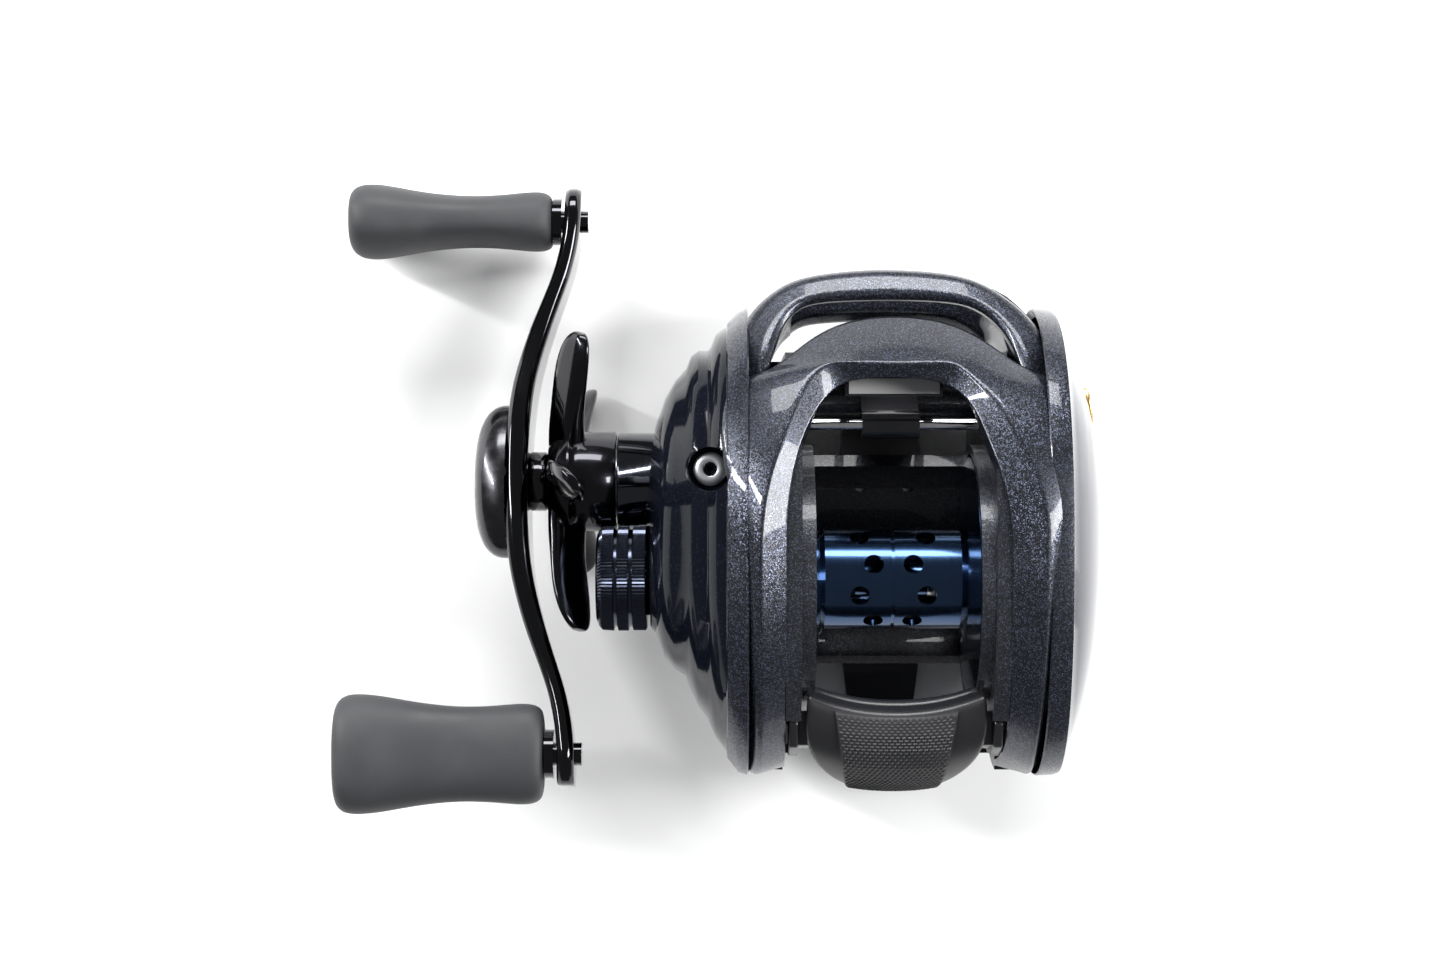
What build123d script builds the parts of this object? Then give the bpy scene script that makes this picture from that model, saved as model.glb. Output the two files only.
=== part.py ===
from build123d import *
import math
import os

# A low-profile baitcasting reel with a left-hand crank, in millimetres.
# +X is the palm side, +Y is towards the rod tip, +Z is up.
# The origin is the centre of the reel foot's underside.
# Places written (ahead, z) are measured from the spool axis along Y, and from the foot along Z.

# ---- driving dimensions ----
SPOOL_Y = -4.0  # the spool axis, behind the middle of the foot
SPOOL_Z = 24.4
RUN = 0.03  # radial running clearance of shafts
GAP = 0.3  # clearance between parts that pass each other

WALL = 2.2  # cast walls of frame and top cover
COVER_WALL = 1.6  # moulded side covers
SPLIT_Z = 20.0  # the frame's sides end here and the top cover begins
GEAR_SEAM_X = -19.9  # where the gear side cover meets the frame
PALM_SEAM_X = 22.9  # where the palm side cover meets the frame
PLATE_IN = 12.9  # inner face of each frame plate, from the middle
PLATE_OUT = 15.0
HOOD_SEAM = 31.0  # ahead of the spool axis: frame behind, hood in front

FLANGE_R = 17.0
SPOOL_HALF = 12.0
ARBOR_R = 7.1
ARBOR_WALL = 0.9
SPOOL_SHAFT_R = 1.1
SPOOL_SHAFT_X = (-37.2, 19.9)
LIP_R = FLANGE_R + GAP
LIP_WALL = 1.3

MAIN_TEETH = 57
PINION_TEETH = 9
TOOTH_SHIFT = 0.47  # profile shift, in modules: plus on the pinion, minus on the main gear
DRIVE_AHEAD = 13.5
DRIVE_Z = 18.6
DRIVE_R = 2.5
JOURNAL_R = 2.0
DRIVE_X = (-55.5, -13.0)
MAIN_X = (-24.4, -21.6)
SLEEVE_R = 4.0
SLEEVE_X = (-38.0, -24.85)
DRIVE_BOSS_R = 6.9
DRIVE_BOSS_X = -37.4
CLUTCH_R = 5.6  # outside of the one-way roller clutch

WORM_AHEAD = 25.6
WORM_Z = 17.0
WORM_R = 2.2
WORM_TEETH = 20
WORM_DRIVE_TEETH = 24
WORM_GEAR_X = (-21.05, -19.95)
TUBE_R = 2.5  # bore of the tube around the worm
TUBE_WALL = 0.8
BAR_AHEAD = 21.5
BAR_Z = 24.0
BAR_R = 0.8
GUIDE_HALF = 6.7  # half width of the line guide's head

PINION_TRAVEL = 1.6
THUMB_TRAVEL = 4.5
THUMB_WAY = (-0.5, -0.866)  # direction of the thumb bar's travel in (ahead, z)
THUMB_HALF = 12.4

STAR_R = 21.8
STAR_ARMS = 5
TENSION_R = 7.45
TENSION_X = (-41.0, -33.9)

HANDLE_REACH = 38.8  # crank centre to knob post
HANDLE_ANGLE = -13.0  # the front knob is low
ARM_OUT_X = -54.0  # outer face of the arm at its middle
POST_R = 2.0
KNOB_X = (-77.3, -48.2)
KNOB_BROAD = 16.8
KNOB_THIN = 10.9

DIAL_AHEAD = 20.1
DIAL_Z = 22.0
DIAL_R = 6.5
DIAL_X = (26.75, 29.3)

FOOT_LENGTH = 60.0
FOOT_WIDTH = 12.6
FOOT_THICK = 2.2

# The side outline in (ahead, z), from under the nose over the top to under the tail.
SIDE_POINTS = [
    (16, 0.4), (29, 4.2), (37, 12), (39.2, 22), (35.6, 33), (28, 40.2), (17, 44.6), (5, 45.6),
    (-8, 44.4), (-19, 40), (-25.8, 32), (-27.4, 21.5), (-25, 11.5), (-17, 3.6), (-6, 0.5), (5, 0.3),
]
SIDE_MID = (5.9, 22.95)
SIDE_SPAN = (66.6, 45.3)

DRIVE_Y = SPOOL_Y + DRIVE_AHEAD
WORM_Y = SPOOL_Y + WORM_AHEAD
CENTRES = math.hypot(DRIVE_AHEAD, DRIVE_Z - SPOOL_Z)
MODULE = 2 * CENTRES / (MAIN_TEETH + PINION_TEETH)
WORM_CENTRES = math.hypot(WORM_AHEAD - DRIVE_AHEAD, WORM_Z - DRIVE_Z)
WORM_MODULE = 2 * WORM_CENTRES / (WORM_TEETH + WORM_DRIVE_TEETH)


# ---- helpers ----
def turned(loop, ahead, z):
    """A solid of revolution about the X line through (ahead, z), from a closed loop of (x, radius)."""
    face = make_face(Polyline(*[(x, 0, r) for x, r in loop], close=True))
    return Pos(0, SPOOL_Y + ahead, z) * revolve(face, Axis.X, 360)


def tube(x0, x1, outer, inner, ahead, z):
    """A ring along X, or a plain cylinder when inner is 0."""
    x0, x1 = min(x0, x1), max(x0, x1)
    ring = turned([(x0, 0), (x0, outer), (x1, outer), (x1, 0)], ahead, z)
    if inner:
        ring -= turned([(x0 - 1, 0), (x0 - 1, inner), (x1 + 1, inner), (x1 + 1, 0)], ahead, z)
    return ring


def slab(points, x0, x1):
    """A polygon of (ahead, z) points carried from x0 to x1."""
    face = make_face(Polyline(*[(x0, SPOOL_Y + a, z) for a, z in points], close=True))
    return extrude(face, amount=x1 - x0, dir=(1, 0, 0))


def block(x0, x1, a0, a1, z0, z1):
    """A box from its limits in x, ahead and z."""
    return slab([(a0, z0), (a1, z0), (a1, z1), (a0, z1)], x0, x1)


def plan(edges, z0, z1):
    """Closed edges drawn at z = 0 in (x, ahead), carried from z0 to z1."""
    return Pos(0, SPOOL_Y, z0) * extrude(make_face(edges), amount=z1 - z0, dir=(0, 0, 1))


def side_outline(x, ahead_share=1.0, z_share=1.0, ahead_mid=SIDE_MID[0], z_mid=SIDE_MID[1]):
    """The reel's side outline at x, one smooth closed curve, scaled about its middle."""
    placed = [
        (x, SPOOL_Y + ahead_mid + (a - SIDE_MID[0]) * ahead_share, z_mid + (z - SIDE_MID[1]) * z_share)
        for a, z in SIDE_POINTS
    ]
    return make_face(Spline(*placed, periodic=True))


def inner_share(wall):
    """The two shares that take a wall off the side outline."""
    return 1 - 2 * wall / SIDE_SPAN[0], 1 - 2 * wall / SIDE_SPAN[1]


def side_solid(x0, x1, wall=0.0):
    """The side outline, less a wall, carried from x0 to x1."""
    ahead_share, z_share = inner_share(wall)
    return extrude(side_outline(x0, ahead_share, z_share), amount=x1 - x0, dir=(1, 0, 0))


def dome(stations, wall=0.0):
    """A loft through scaled side outlines: each station is (x, ahead share, mid, z share, mid)."""
    less_a, less_z = 2 * wall / SIDE_SPAN[0], 2 * wall / SIDE_SPAN[1]
    faces = [
        side_outline(x, share_a - less_a, share_z - less_z, mid_a, mid_z)
        for x, share_a, mid_a, share_z, mid_z in stations
    ]
    return loft(faces)


def gear(teeth, module, shift, bore, x0, x1, ahead, z, tooth_at, topping=0.0):
    """A spur gear with involute flanks; tooth_at is the angle of one tooth's middle."""
    backlash = 0.06
    pressure = math.radians(20)
    pitch_r = module * teeth / 2
    base_r = pitch_r * math.cos(pressure)
    tip_r = pitch_r + (1 + shift) * module - topping
    root_r = pitch_r - (1.25 - shift) * module
    width = math.pi * module / 2 + 2 * shift * module * math.tan(pressure) - backlash

    def half_angle(radius):
        rolled = math.acos(min(1.0, base_r / radius))
        at_pitch = math.tan(pressure) - pressure
        return width / (2 * pitch_r) + at_pitch - (math.tan(rolled) - rolled)

    low_r = max(root_r, base_r)
    radii = [low_r + (tip_r - low_r) * k / 3 for k in range(4)]
    points = []
    for tooth in range(teeth):
        middle = tooth_at + 2 * math.pi * tooth / teeth
        rising = [(root_r, -half_angle(low_r))] if root_r < base_r else []
        rising += [(r, -half_angle(r)) for r in radii]
        falling = [(r, -angle) for r, angle in reversed(rising)]
        for r, angle in rising + falling:
            points.append((ahead + r * math.cos(middle + angle), z + r * math.sin(middle + angle)))
    return slab(points, x0, x1) - tube(x0, x1, bore, 0, ahead, z)


def save(name, part):
    """Write one sub-part."""
    part.label = name
    export_step(part, f"parts/{name}.step")
    print(name, round(part.volume, 1))


# ---- frame, foot and covers ----
PLATES = [(-PLATE_OUT, -PLATE_IN), (PLATE_IN, PLATE_OUT)]
COVER_SCREWS = [(26.5, 6.0), (-17.5, 10.5), (-3.0, 36.3)]  # (ahead, z) of the gear cover screws
SPRING_PLACES = [
    (7.2 * THUMB_WAY[0], SPOOL_Z + 7.2 * THUMB_WAY[1]),
    (-7.2 * THUMB_WAY[0], SPOOL_Z - 7.2 * THUMB_WAY[1]),
]
CRADLE_R = LIP_R + LIP_WALL - 1.0
CRADLE_WALL = 1.8
CRADLE_ARC = (-132, -27)  # the cradle stops low in front, so the gap to the level wind is open
THUMB_SLOT = (-18.8, 13.0)  # the plates are open behind this place and above this height


def sector(radius, start, end):
    """Points of a fan about the spool axis, from one angle to the other, in degrees from ahead."""
    steps = 16
    turns = [math.radians(start + (end - start) * k / steps) for k in range(steps + 1)]
    return [(0, SPOOL_Z)] + [(radius * math.cos(t), SPOOL_Z + radius * math.sin(t)) for t in turns]


def make_frame():
    """Two plates with rims, joined by the spool cradle, the foot pad and two cross bars."""
    rims = [(GEAR_SEAM_X, -PLATE_IN), (PLATE_IN, PALM_SEAM_X)]
    frame = None
    for (plate_0, plate_1), (rim_0, rim_1) in zip(PLATES, rims):
        side = side_solid(plate_0, plate_1, WALL)
        shell = side_solid(rim_0, rim_1) - side_solid(rim_0 - 1, rim_1 + 1, WALL)
        side += shell & block(rim_0 - 1, rim_1 + 1, -40, 60, -5, SPLIT_Z)
        side -= block(plate_0, plate_1, -40, THUMB_SLOT[0], THUMB_SLOT[1], 60)
        side -= block(rim_0 - 1, rim_1 + 1, HOOD_SEAM, 60, -5, 60)
        frame = side if frame is None else frame + side
    lip_out = LIP_R + LIP_WALL
    frame += tube(-PLATE_IN, -SPOOL_HALF + 1.0, lip_out, LIP_R, 0, SPOOL_Z)
    frame += tube(SPOOL_HALF - 1.0, PALM_SEAM_X - 0.4, lip_out, LIP_R, 0, SPOOL_Z) & side_solid(0, 40, WALL)
    frame -= tube(SPOOL_HALF - 2.0, PALM_SEAM_X + 1, LIP_R, 0, 0, SPOOL_Z)
    cradle = slab(sector(30, *CRADLE_ARC), -PLATE_IN, PLATE_IN)
    cradle &= tube(-PLATE_IN, PLATE_IN, CRADLE_R + CRADLE_WALL, CRADLE_R, 0, SPOOL_Z)
    frame += cradle
    pad = block(-6.5, 6.5, -8, 16, FOOT_THICK, 9.0) - tube(-20, 20, CRADLE_R, 0, 0, SPOOL_Z)
    frame += pad
    frame += block(-PLATE_IN, PLATE_IN, 28.6, HOOD_SEAM, 4.5, 9.0)
    frame += block(-PLATE_IN, PLATE_IN, -24.0, -21.0, 8.0, 11.0)
    frame += tube(-PLATE_IN, PLATE_IN, TUBE_R + TUBE_WALL, 0, WORM_AHEAD, WORM_Z)
    frame -= tube(-PLATE_IN, PLATE_IN, TUBE_R, 0, WORM_AHEAD, WORM_Z)
    frame -= block(-10.5, 10.5, WORM_AHEAD - 1.3, WORM_AHEAD + 1.3, WORM_Z - 6, WORM_Z)
    for ahead, z in COVER_SCREWS:
        frame += tube(GEAR_SEAM_X, -PLATE_OUT, 2.2, 0, ahead, z)
        frame -= tube(GEAR_SEAM_X, -16.0, 1.0, 0, ahead, z)
    for ahead, z in SPRING_PLACES:
        frame += tube(-26.8, -PLATE_OUT, 0.9, 0, ahead, z)
    frame -= tube(-16, -10, 4.2, 0, 0, SPOOL_Z)
    frame -= tube(-16, -12, 4.0, 0, DRIVE_AHEAD, DRIVE_Z)
    frame -= tube(-24, 24, TUBE_R, 0, WORM_AHEAD, WORM_Z)
    frame -= tube(-24, 24, BAR_R, 0, BAR_AHEAD, BAR_Z)
    for x in FOOT_SCREW_X:
        frame -= Pos(x, FOOT_SCREW_Y, 0) * Cylinder(1.0, 12, align=(Align.CENTER, Align.CENTER, Align.MIN))
    return frame


FOOT_SCREW_X = (-3.4, 3.4)
FOOT_SCREW_Y = SPOOL_Y + 13.0


def make_foot():
    """A flat boat-shaped foot with pointed ends, screwed to the frame's pad."""
    half, width = FOOT_LENGTH / 2, FOOT_WIDTH / 2
    rounds = Spline((-4.2, half - 2), (0, half), (4.2, half - 2))
    tail = Spline((4.2, 2 - half), (0, -half), (-4.2, 2 - half))
    right = Spline((4.2, half - 2), (width, 8), (width, -8), (4.2, 2 - half))
    left = Spline((-4.2, 2 - half), (-width, -8), (-width, 8), (-4.2, half - 2))
    foot = extrude(make_face([rounds, right, tail, left]), amount=FOOT_THICK, dir=(0, 0, 1))
    for end in (1, -1):
        wedge = Polyline((-10, 19 * end, FOOT_THICK), (-10, 31 * end, 1.0), (-10, 31 * end, 4), close=True)
        foot -= extrude(make_face(wedge), amount=20, dir=(1, 0, 0))
    for x in FOOT_SCREW_X:
        hole = Cylinder(1.0, 12, align=(Align.CENTER, Align.CENTER, Align.MIN))
        sink = Cylinder(1.9, 1.2, align=(Align.CENTER, Align.CENTER, Align.MIN))
        foot -= Pos(x, FOOT_SCREW_Y, 0) * (hole + sink)
    return foot


def make_foot_screws():
    """Two screws from under the foot into the frame's pad."""
    screws = Part()
    for x in FOOT_SCREW_X:
        shank = Cylinder(1.0, 5.2, align=(Align.CENTER, Align.CENTER, Align.MIN))
        head = Cylinder(1.9, 1.0, align=(Align.CENTER, Align.CENTER, Align.MIN))
        slot = Box(2.8, 0.5, 0.8)
        screws += Pos(x, FOOT_SCREW_Y, 0.2) * (head + shank - slot)
    return screws


TOP_LEFT_X = GEAR_SEAM_X + 0.05
TOP_RIGHT_X = PALM_SEAM_X - 0.05


def make_top_cover():
    """The horseshoe bridge over the level wind, with a rail running back on each side."""
    shell = side_solid(TOP_LEFT_X, TOP_RIGHT_X) - side_solid(-30, 30, WALL - 0.05)
    shell &= block(-30, 30, -40, 60, SPLIT_Z + 0.05, 60)
    nose = Spline(
        (-17.5, HOOD_SEAM), (-11.5, 33.4), (-5, 36.2), (0.5, 36.6), (6, 36.2), (12.5, 33.4),
        (TOP_RIGHT_X, HOOD_SEAM - 0.6),
    )
    outer = [
        Polyline((TOP_LEFT_X, HOOD_SEAM), (TOP_LEFT_X, -40), (TOP_RIGHT_X, -40),
        (TOP_RIGHT_X, HOOD_SEAM - 0.6)),
        nose,
        Line((TOP_LEFT_X, HOOD_SEAM), (-17.5, HOOD_SEAM)),
    ]
    arch = Spline(
        (-14.8, 4), (-14.3, 14), (-12.4, 20.5), (-8, 25.6), (0, 26.9), (8.6, 25.8), (12.4, 20.5),
        (14.4, 14), (14.8, 4), tangents=[(0, 1), (0, -1)],
    )
    inner = [arch, Polyline((14.8, 4), (14.8, -40), (-14.8, -40), (-14.8, 4))]
    return (shell & plan(outer, 0, 60)) - plan(inner, 0, 60)


HOOD_WALL = 4.4


def make_hood():
    """The front arch: a curved nose wall with a wide window for the line."""
    left, right = TOP_LEFT_X, TOP_RIGHT_X
    front = Spline(
        (left, 36.4), (-12.5, 41.0), (-6, 42.8), (1, 43.2), (8, 42.8), (14.5, 40.6), (right, 35.0),
    )
    back = Polyline((left, 36.4), (left, HOOD_SEAM + 0.05), (right, HOOD_SEAM + 0.05), (right, 35.0))
    nose = plan([front, back], 5, 40)
    hollow = Spline((-14, 30), (-13.2, 36.2), (-8, 38.3), (0, 38.8), (8, 38.2), (12.6, 36), (13.4, 30))
    nose -= plan([hollow, Line((13.4, 30), (-14, 30))], 0, 40)
    side = [(24, 5.2), (39, 7.6), (42.6, 12), (43.6, 18), (43.2, 24.5), (40.5, 29.2), (36.6, 31.6),
        (24, 36)]
    nose &= slab(side, -30, 30)
    nose -= block(-13.4, 12.8, 30, 50, 10.5, 25.2)
    keep = side_solid(-30, 30) + block(-30, 30, 37.0, 50, 0, 29.5) + block(-13.4, 12.8, 30, 50, 0, 40)
    nose &= keep
    cover_room = side_solid(-30, 30) - side_solid(-31, 31, WALL + 0.35)
    cover_room &= block(-30, 30, 0, 36.9, 31.0, 60)
    return nose - cover_room


GEAR_STATIONS = [
    (-19.9, 1.0, 5.9, 1.0, 22.95),
    (-23.5, 0.87, 6.0, 0.93, 22.5),
    (-27.5, 0.71, 8.0, 0.81, 21.6),
    (-30.5, 0.59, 7.4, 0.69, 21.3),
    (-32.2, 0.47, 6.6, 0.55, 21.4),
    (-33.0, 0.28, 6.0, 0.34, 21.6),
]
TOP_SCREW = (-25.2, 15.2)  # (x, ahead) of the screw in the round recess
RECESS_Z = 37.0


def make_gear_cover():
    """The domed gear side cover, with the drive boss and the cast-control boss."""
    outside = dome(GEAR_STATIONS)
    stations = [(x + 0.9 * k / 5, *rest) for k, (x, *rest) in enumerate(GEAR_STATIONS)]
    cover = outside - dome(stations, COVER_WALL)
    drive_room = slab([(DRIVE_AHEAD - 8.6, 2), (30, 2), (30, 33), (DRIVE_AHEAD - 8.6, 33)], -24.6, -18)
    cover -= drive_room & tube(-24.6, -18, 13.9, 0, DRIVE_AHEAD, DRIVE_Z)
    for ahead, z in COVER_SCREWS:
        post = tube(-32, GEAR_SEAM_X, 2.9, 0, ahead, z) & outside
        cover += post
        cover -= tube(-40, -22.5, 1.9, 0, ahead, z)
        cover -= tube(-23, -10, 1.05, 0, ahead, z)
    cover += tube(DRIVE_BOSS_X, -25.5, DRIVE_BOSS_R, 0, DRIVE_AHEAD, DRIVE_Z)
    cover -= tube(-37.0, -25, CLUTCH_R, 0, DRIVE_AHEAD, DRIVE_Z)
    cover -= tube(-39, -36, SLEEVE_R + 0.4, 0, DRIVE_AHEAD, DRIVE_Z)
    cover += tube(-38.0, -28.0, 5.2, 0, 0, SPOOL_Z)
    cover += tube(-33.5, -31.0, TENSION_R - 0.3, 0, 0, SPOOL_Z)
    cover -= tube(-36.6, -20, 3.8, 0, 0, SPOOL_Z)
    cover -= tube(-40, -36, 1.6, 0, 0, SPOOL_Z)
    cover -= tube(-30.3, -24, 4.5, 0, 0, SPOOL_Z)
    x, ahead = TOP_SCREW
    down = Pos(x, SPOOL_Y + ahead, 0)
    above = (Align.CENTER, Align.CENTER, Align.MIN)
    cover += (down * Pos(0, 0, RECESS_Z - 2.8) * Cylinder(4.0, 14, align=above)) & outside
    cover -= down * Pos(0, 0, RECESS_Z) * Cylinder(2.9, 14, align=above)
    cover -= down * Pos(0, 0, RECESS_Z - 4) * Cylinder(1.1, 14, align=above)
    return cover


def make_gear_cover_screws():
    """Three screws along X into the frame, and the one in the top recess."""
    screws = Part()
    for ahead, z in COVER_SCREWS:
        screw = turned([(-23.9, 0), (-23.9, 1.7), (-22.5, 1.7), (-22.5, 1.0), (-16.1, 1.0), (-16.1, 0)],
            ahead, z)
        screws += screw - block(-24, -23.4, ahead - 1.7, ahead + 1.7, z - 0.25, z + 0.25)
    x, ahead = TOP_SCREW
    above = (Align.CENTER, Align.CENTER, Align.MIN)
    head = Pos(0, 0, RECESS_Z) * Cylinder(2.3, 1.4, align=above)
    shank = Pos(0, 0, RECESS_Z - 2.6) * Cylinder(1.1, 2.8, align=above)
    cross = Pos(0, 0, RECESS_Z + 1.2) * (Box(2.6, 0.6, 1.2) + Box(0.6, 2.6, 1.2))
    screws += Pos(x, SPOOL_Y + ahead, 0) * (head + shank - cross)
    return screws


PALM_STATIONS = [
    (22.9, 0.965, 5.2, 1.0, 22.95),
    (26.0, 0.80, 5.3, 0.88, 23.0),
    (28.2, 0.62, 5.8, 0.73, 23.1),
    (29.6, 0.42, 6.1, 0.53, 23.2),
    (30.3, 0.20, 6.3, 0.28, 23.3),
]
HOUSING_POSTS = [(18.9 * math.cos(math.radians(t)), 18.9 * math.sin(math.radians(t))) for t in (150, 210,
    300)]


def make_palm_cover():
    """The domed palm side cover, with a well for the brake dial and posts for the brake housing."""
    outside = dome(PALM_STATIONS)
    stations = [(x - 1.4 * k / 4, *rest) for k, (x, *rest) in enumerate(PALM_STATIONS)]
    cover = outside - dome(stations, COVER_WALL)
    for ahead, up in HOUSING_POSTS:
        post = tube(24.25, 31, 1.8, 0, ahead, SPOOL_Z + up) & outside
        cover += post
        cover -= tube(23, 26.5, 0.8, 0, ahead, SPOOL_Z + up)
    cover += tube(25.6, 31, DIAL_R + 1.5, 0, DIAL_AHEAD, DIAL_Z) & outside
    cover -= tube(26.6, 32, DIAL_R + 0.2, 0, DIAL_AHEAD, DIAL_Z)
    cover -= tube(20, 30, 1.5 + RUN, 0, DIAL_AHEAD, DIAL_Z)
    return cover


def make_brake_housing():
    """The drum that carries the magnets and the palm side bearing inside the frame ring."""
    drum_r = LIP_R - GAP
    housing = tube(13.6, 24.2, drum_r, drum_r - 1.4, 0, SPOOL_Z)
    housing += tube(20.1, 21.6, drum_r - 1.0, 0, 0, SPOOL_Z)
    housing += tube(17.3, 20.2, 5.3, 4.0, 0, SPOOL_Z)
    for ahead, up in HOUSING_POSTS:
        ear = tube(22.95, 24.2, 2.6, 0.8, ahead, SPOOL_Z + up)
        housing += ear - tube(22, 25, drum_r - 1.0, 0, 0, SPOOL_Z)
    return housing


def make_housing_screws():
    """Three screws from inside, through the housing's flange into the cover's posts."""
    screws = Part()
    for ahead, up in HOUSING_POSTS:
        screws += tube(22.95, 26.0, 0.8, 0, ahead, SPOOL_Z + up)
    return screws


def make_brake_dial():
    """A knurled dial on a short stem."""
    x0, x1 = DIAL_X
    dial = turned(
        [(x0, 0), (x0, DIAL_R - 0.2), (x0 + 0.2, DIAL_R), (x1 - 0.4, DIAL_R), (x1, DIAL_R - 0.4), (x1, 0)],
        DIAL_AHEAD, DIAL_Z,
    )
    dial += tube(24.6, x0, 1.5, 0, DIAL_AHEAD, DIAL_Z)
    notches = 36
    for k in range(notches):
        turn = 2 * math.pi * k / notches
        place = (DIAL_AHEAD + DIAL_R * math.cos(turn), DIAL_Z + DIAL_R * math.sin(turn))
        dial -= tube(x0 - 0.1, x1 + 0.1, 0.22, 0, *place)
    return dial


# ---- spool and its brake ----
HOLE_ROWS = 10
HOLE_PLACES = (4.6, 2.7)  # from the middle groove, in turn from row to row
HOLE_R = 1.35


def make_spool():
    """Two thin flanges on a bored arbor, with a hub on the shaft."""
    arbor_in = ARBOR_R - ARBOR_WALL
    half = [
        (0.25, ARBOR_R - 0.3), (0.25, ARBOR_R), (9.4, ARBOR_R), (10.1, 8.6), (SPOOL_HALF - 1.05, FLANGE_R),
        (SPOOL_HALF, FLANGE_R), (SPOOL_HALF, FLANGE_R - 1.4), (SPOOL_HALF - 0.3, FLANGE_R - 1.4),
        (SPOOL_HALF - 1.0, 9.2), (10.5, arbor_in), (0.8, arbor_in), (0.8, 2.6), (5.0, 2.6),
        (5.0, SPOOL_SHAFT_R),
    ]
    loop = half + [(-x, r) for x, r in reversed(half)]
    spool = turned(loop, 0, SPOOL_Z)
    for row in range(HOLE_ROWS):
        turn = 90 + 360 * row / HOLE_ROWS
        x = HOLE_PLACES[row % 2]
        for side in (-1, 1):
            drill = Pos(side * x, 0, 6.1) * Cylinder(HOLE_R, 3)
            spool -= Pos(0, SPOOL_Y, SPOOL_Z) * Rot(X=turn) * drill
    return spool


def make_rotor():
    """The thin cup that turns between the two magnet rings."""
    return turned(
        [(5.05, SPOOL_SHAFT_R), (5.05, 2.6), (12.05, 2.6), (12.05, 9.5), (17.2, 9.5), (17.2, 9.0),
         (12.6, 9.0), (12.6, SPOOL_SHAFT_R)],
        0, SPOOL_Z,
    )


def make_spool_pin():
    """The cross pin that the pinion's slot drives."""
    return Pos(-16.4, SPOOL_Y, SPOOL_Z) * Cylinder(0.5, 5.0)


# ---- clutch ----
def clutch_place(along, across):
    """(ahead, z) from distances along and across the thumb bar's travel, from the spool axis."""
    a, z = THUMB_WAY
    return a * along - z * across, SPOOL_Z + z * along + a * across


def make_pinion():
    """The pinion on the spool shaft: slotted boss, yoke groove, teeth and rear shank."""
    towards = math.atan2(DRIVE_Z - SPOOL_Z, DRIVE_AHEAD)
    tooth_at = towards + math.pi / PINION_TEETH
    bore = SPOOL_SHAFT_R + 0.1
    pinion = gear(PINION_TEETH, MODULE, TOOTH_SHIFT, bore, -26.4, -19.6, 0, SPOOL_Z, tooth_at, 0.15)
    pinion += turned(
        [(-31.5, bore), (-31.5, 2.0), (-26.4, 2.0), (-26.4, bore)], 0, SPOOL_Z,
    )
    pinion += turned(
        [(-19.6, bore), (-19.6, 1.9), (-18.6, 1.9), (-18.6, 2.75), (-15.8, 2.75), (-15.8, bore)], 0,
        SPOOL_Z,
    )
    slot = Pos(-16.4, SPOOL_Y, SPOOL_Z) * Box(1.3, 1.2, 8)
    return pinion - slot


YOKE_X = (-19.5, -18.7)
RAMP_SLOPE = PINION_TRAVEL / THUMB_TRAVEL
RAMP_FOOT = 0.8  # half length of the yoke's feet along the travel
CLUTCH_PLATE_X = (-16.5, -15.3)


def make_yoke():
    """A fork in the pinion's groove, with two feet that the clutch plate's ramps lift."""
    bar = [clutch_place(*p) for p in ((-8.7, -3.3), (8.7, -3.3), (8.7, 3.3), (-8.7, 3.3))]
    ears = [clutch_place(*p) for p in ((-2.6, -5.4), (2.6, -5.4), (2.6, 5.4), (-2.6, 5.4))]
    yoke = slab(bar, *YOKE_X) + slab(ears, *YOKE_X)
    mouth = [clutch_place(*p) for p in ((0, -1.95), (3.0, -1.95), (3.0, 1.95), (0, 1.95))]
    yoke -= tube(-20, -18, 1.95, 0, 0, SPOOL_Z) + slab(mouth, -20, -18)
    foot_x = CLUTCH_PLATE_X[0] - RAMP_SLOPE * 2 * RAMP_FOOT - 0.1
    for across in (-4.4, 4.4):
        foot = ((-RAMP_FOOT, across - 0.7), (RAMP_FOOT, across - 0.7), (RAMP_FOOT, across + 0.7),
            (-RAMP_FOOT, across + 0.7))
        yoke += slab([clutch_place(*p) for p in foot], YOKE_X[1], foot_x)
    for ahead, z in SPRING_PLACES:
        yoke -= tube(-20, -18, 1.0, 0, ahead, z)
    return yoke


def make_yoke_springs():
    """Two closed sleeves standing for the coil springs that push the yoke inwards."""
    springs = Part()
    for ahead, z in SPRING_PLACES:
        springs += tube(-26.6, YOKE_X[0] - PINION_TRAVEL - 0.1, 1.5, 0.95, ahead, z)
    return springs


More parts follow.
